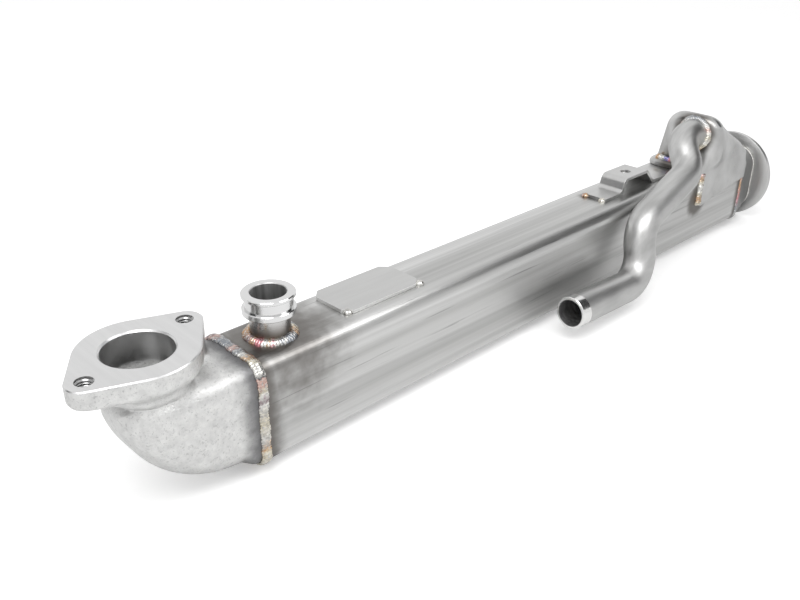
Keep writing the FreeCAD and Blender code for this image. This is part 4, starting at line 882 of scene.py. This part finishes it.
for step in range(SIDE_RIPPLES):
    z = side_low.z + SIDE_INSET + SIDE_PITCH * step
    middle = Vector((side_low.x + BEAD_RADIUS, shell_low.y, z))
    seats.append((middle, Vector((0, -1, 0)), Vector((0, 0, 1)), hand_held(step)))
lay_ripples("side_bead", ["manifold_side_weld"], side_tint,
            start_ripple(across=0.0033, along=0.0018, high=0.0029), seats)

# Neck line: the rounded bright edge where the neck of the adapter turns out against the
# flange, drawn as a fine smooth line of steel.
NECK_HALF_WIDE = 0.0210
NECK_HALF_TALL = 0.02515
NECK_CORNER = 0.0145
NECK_SETBACK = 0.0008
neck_tint = weld_finish("weld_neck", straight_run((0, 0, 1), start=0.0, length=0.1), (
    (0.0, WELD_SILVER), (1.0, WELD_SILVER)), roughness=0.2)
neck_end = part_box("inlet_adapter")[1].x
lay_ripples("neck_edge", [], neck_tint,
            start_ripple(across=0.0009, along=0.0012, high=0.0008),
            round_outline(neck_end - NECK_SETBACK, NECK_HALF_WIDE, NECK_HALF_TALL,
                          flange_middle.z, NECK_CORNER, pitch=0.0006, lift=-0.0001, wander=0.0))

# Tack welds: single blobs of weld metal at the corners of the plate and the bracket. The
# plate's are bright, and the bracket's run from white through plum to orange and pink.
bracket_tint = weld_finish("weld_bracket_tacks", straight_run((0, 1, 0), start=-0.01, length=0.02), (
    (0.0, WELD_WHITE), (0.4, WELD_CREAM), (0.6, WELD_PLUM), (0.78, WELD_ORANGE),
    (0.9, WELD_PINK)))
plate_tint = weld_finish("weld_plate_tacks", straight_run((1, 0, 0), start=0.1, length=0.1), (
    (0.0, WELD_SILVER), (1.0, WELD_WHITE)), roughness=0.15)
for node, name, tint_finish in (
        ("bracket_tacks", "bracket_tack_welds", bracket_tint),
        ("name_plate_tacks", "plate_tack_welds", plate_tint)):
    tacks = carried_over(node, name, angle=50, even=False)
    tacks.data.materials.append(tint_finish)

# Floor and light: a plain pale table and room, two soft lamps, and dark cards that only
# the metal sees, as a studio uses them to draw the shape of bright steel.
FLOOR_SIZE = 8.0
bpy.ops.object.select_all(action="DESELECT")
bpy.ops.mesh.primitive_plane_add(size=FLOOR_SIZE, location=(0.2, 0.0, cad_low.z))
floor = bpy.context.active_object
floor.name = "pale_table"
table, tree, shader = finish_named("pale_table", (0.93, 0.93, 0.93, 1), 0.9)
shader.inputs["Metallic"].default_value = 0.0
rays = tree.nodes.new("ShaderNodeLightPath")
shader.inputs["Emission Color"].default_value = (1, 1, 1, 1)
glow = add_math(tree, "MULTIPLY", rays.outputs["Is Camera Ray"], 0.3)
tree.links.new(glow, shader.inputs["Emission Strength"])
floor.data.materials.append(table)

world = bpy.data.worlds.new("pale_room")
world.use_nodes = True
bpy.context.scene.world = world
tree = world.node_tree
sky = tree.nodes["Background"]
sky.inputs["Color"].default_value = (1, 1, 1, 1)
rays = tree.nodes.new("ShaderNodeLightPath")
bent = add_math(tree, "MAXIMUM", rays.outputs["Is Glossy Ray"],
                rays.outputs["Is Transmission Ray"])
seen = add_math(tree, "MAXIMUM", rays.outputs["Is Camera Ray"], bent)
strength = add_math(tree, "ADD", 0.7, add_math(tree, "MULTIPLY", seen, 0.3))
tree.links.new(strength, sky.inputs["Strength"])

for name, spot, aim, side, power in (
        ("key_lamp", (0.28, -0.24, 0.28), (0.05, 0, -0.03), 0.2, 0.42),
        ("high_lamp", (-0.3, -0.3, 1.0), (0.2, 0, -0.05), 0.6, 5.0)):
    lamp = bpy.data.lights.new(name, "AREA")
    lamp.size = side
    lamp.energy = power
    holder = bpy.data.objects.new(name, lamp)
    bpy.context.scene.collection.objects.link(holder)
    holder.location = spot
    holder.rotation_euler = (Vector(aim) - Vector(spot)).to_track_quat("-Z", "Y").to_euler()

card_finish, tree, shader = finish_named("dark_card", (0.05, 0.05, 0.052, 1), 0.9)
shader.inputs["Metallic"].default_value = 0.0
for name, spot, wide, tall in (
        ("card_right", (2.08, -0.83, 1.0), 1.8, 1.35),
        ("card_left", (-1.6, 0.9, 0.7), 1.2, 1.2)):
    bpy.ops.object.select_all(action="DESELECT")
    bpy.ops.mesh.primitive_plane_add(size=1.0)
    card = bpy.context.active_object
    card.name = name
    facing = (Vector((0.2, 0, 0)) - Vector(spot)).to_track_quat("Z", "Y").to_matrix().to_4x4()
    card.data.transform(Matrix.Translation(spot) @ facing @ Matrix.Diagonal((wide, tall, 1, 1)))
    card.visible_camera = False
    card.visible_diffuse = False
    card.visible_shadow = False
    card.visible_transmission = False
    card.data.materials.append(card_finish)

# Camera: set where the picture was taken from, by the straight edges and round rims.
# Angles are in degrees, and the spot is in metres from the middle of the outlet's bore.
CAMERA_SPOT = (-0.148647, -0.311048, 0.191654)
CAMERA_HEADING = 44.441
CAMERA_DIP = 27.153
CAMERA_ROLL = 0.573
camera = bpy.data.cameras.new("camera")
camera.lens = 39.9
camera.sensor_width = 36.0
camera.clip_start = 0.01
stand = bpy.data.objects.new("camera", camera)
bpy.context.scene.collection.objects.link(stand)
stand.matrix_world = (Matrix.Translation(CAMERA_SPOT)
                      @ Matrix.Rotation(math.radians(-CAMERA_HEADING), 4, "Z")
                      @ Matrix.Rotation(math.radians(90 - CAMERA_DIP), 4, "X")
                      @ Matrix.Rotation(math.radians(CAMERA_ROLL), 4, "Z"))
bpy.context.scene.camera = stand
bpy.context.scene.view_settings.view_transform = "Standard"
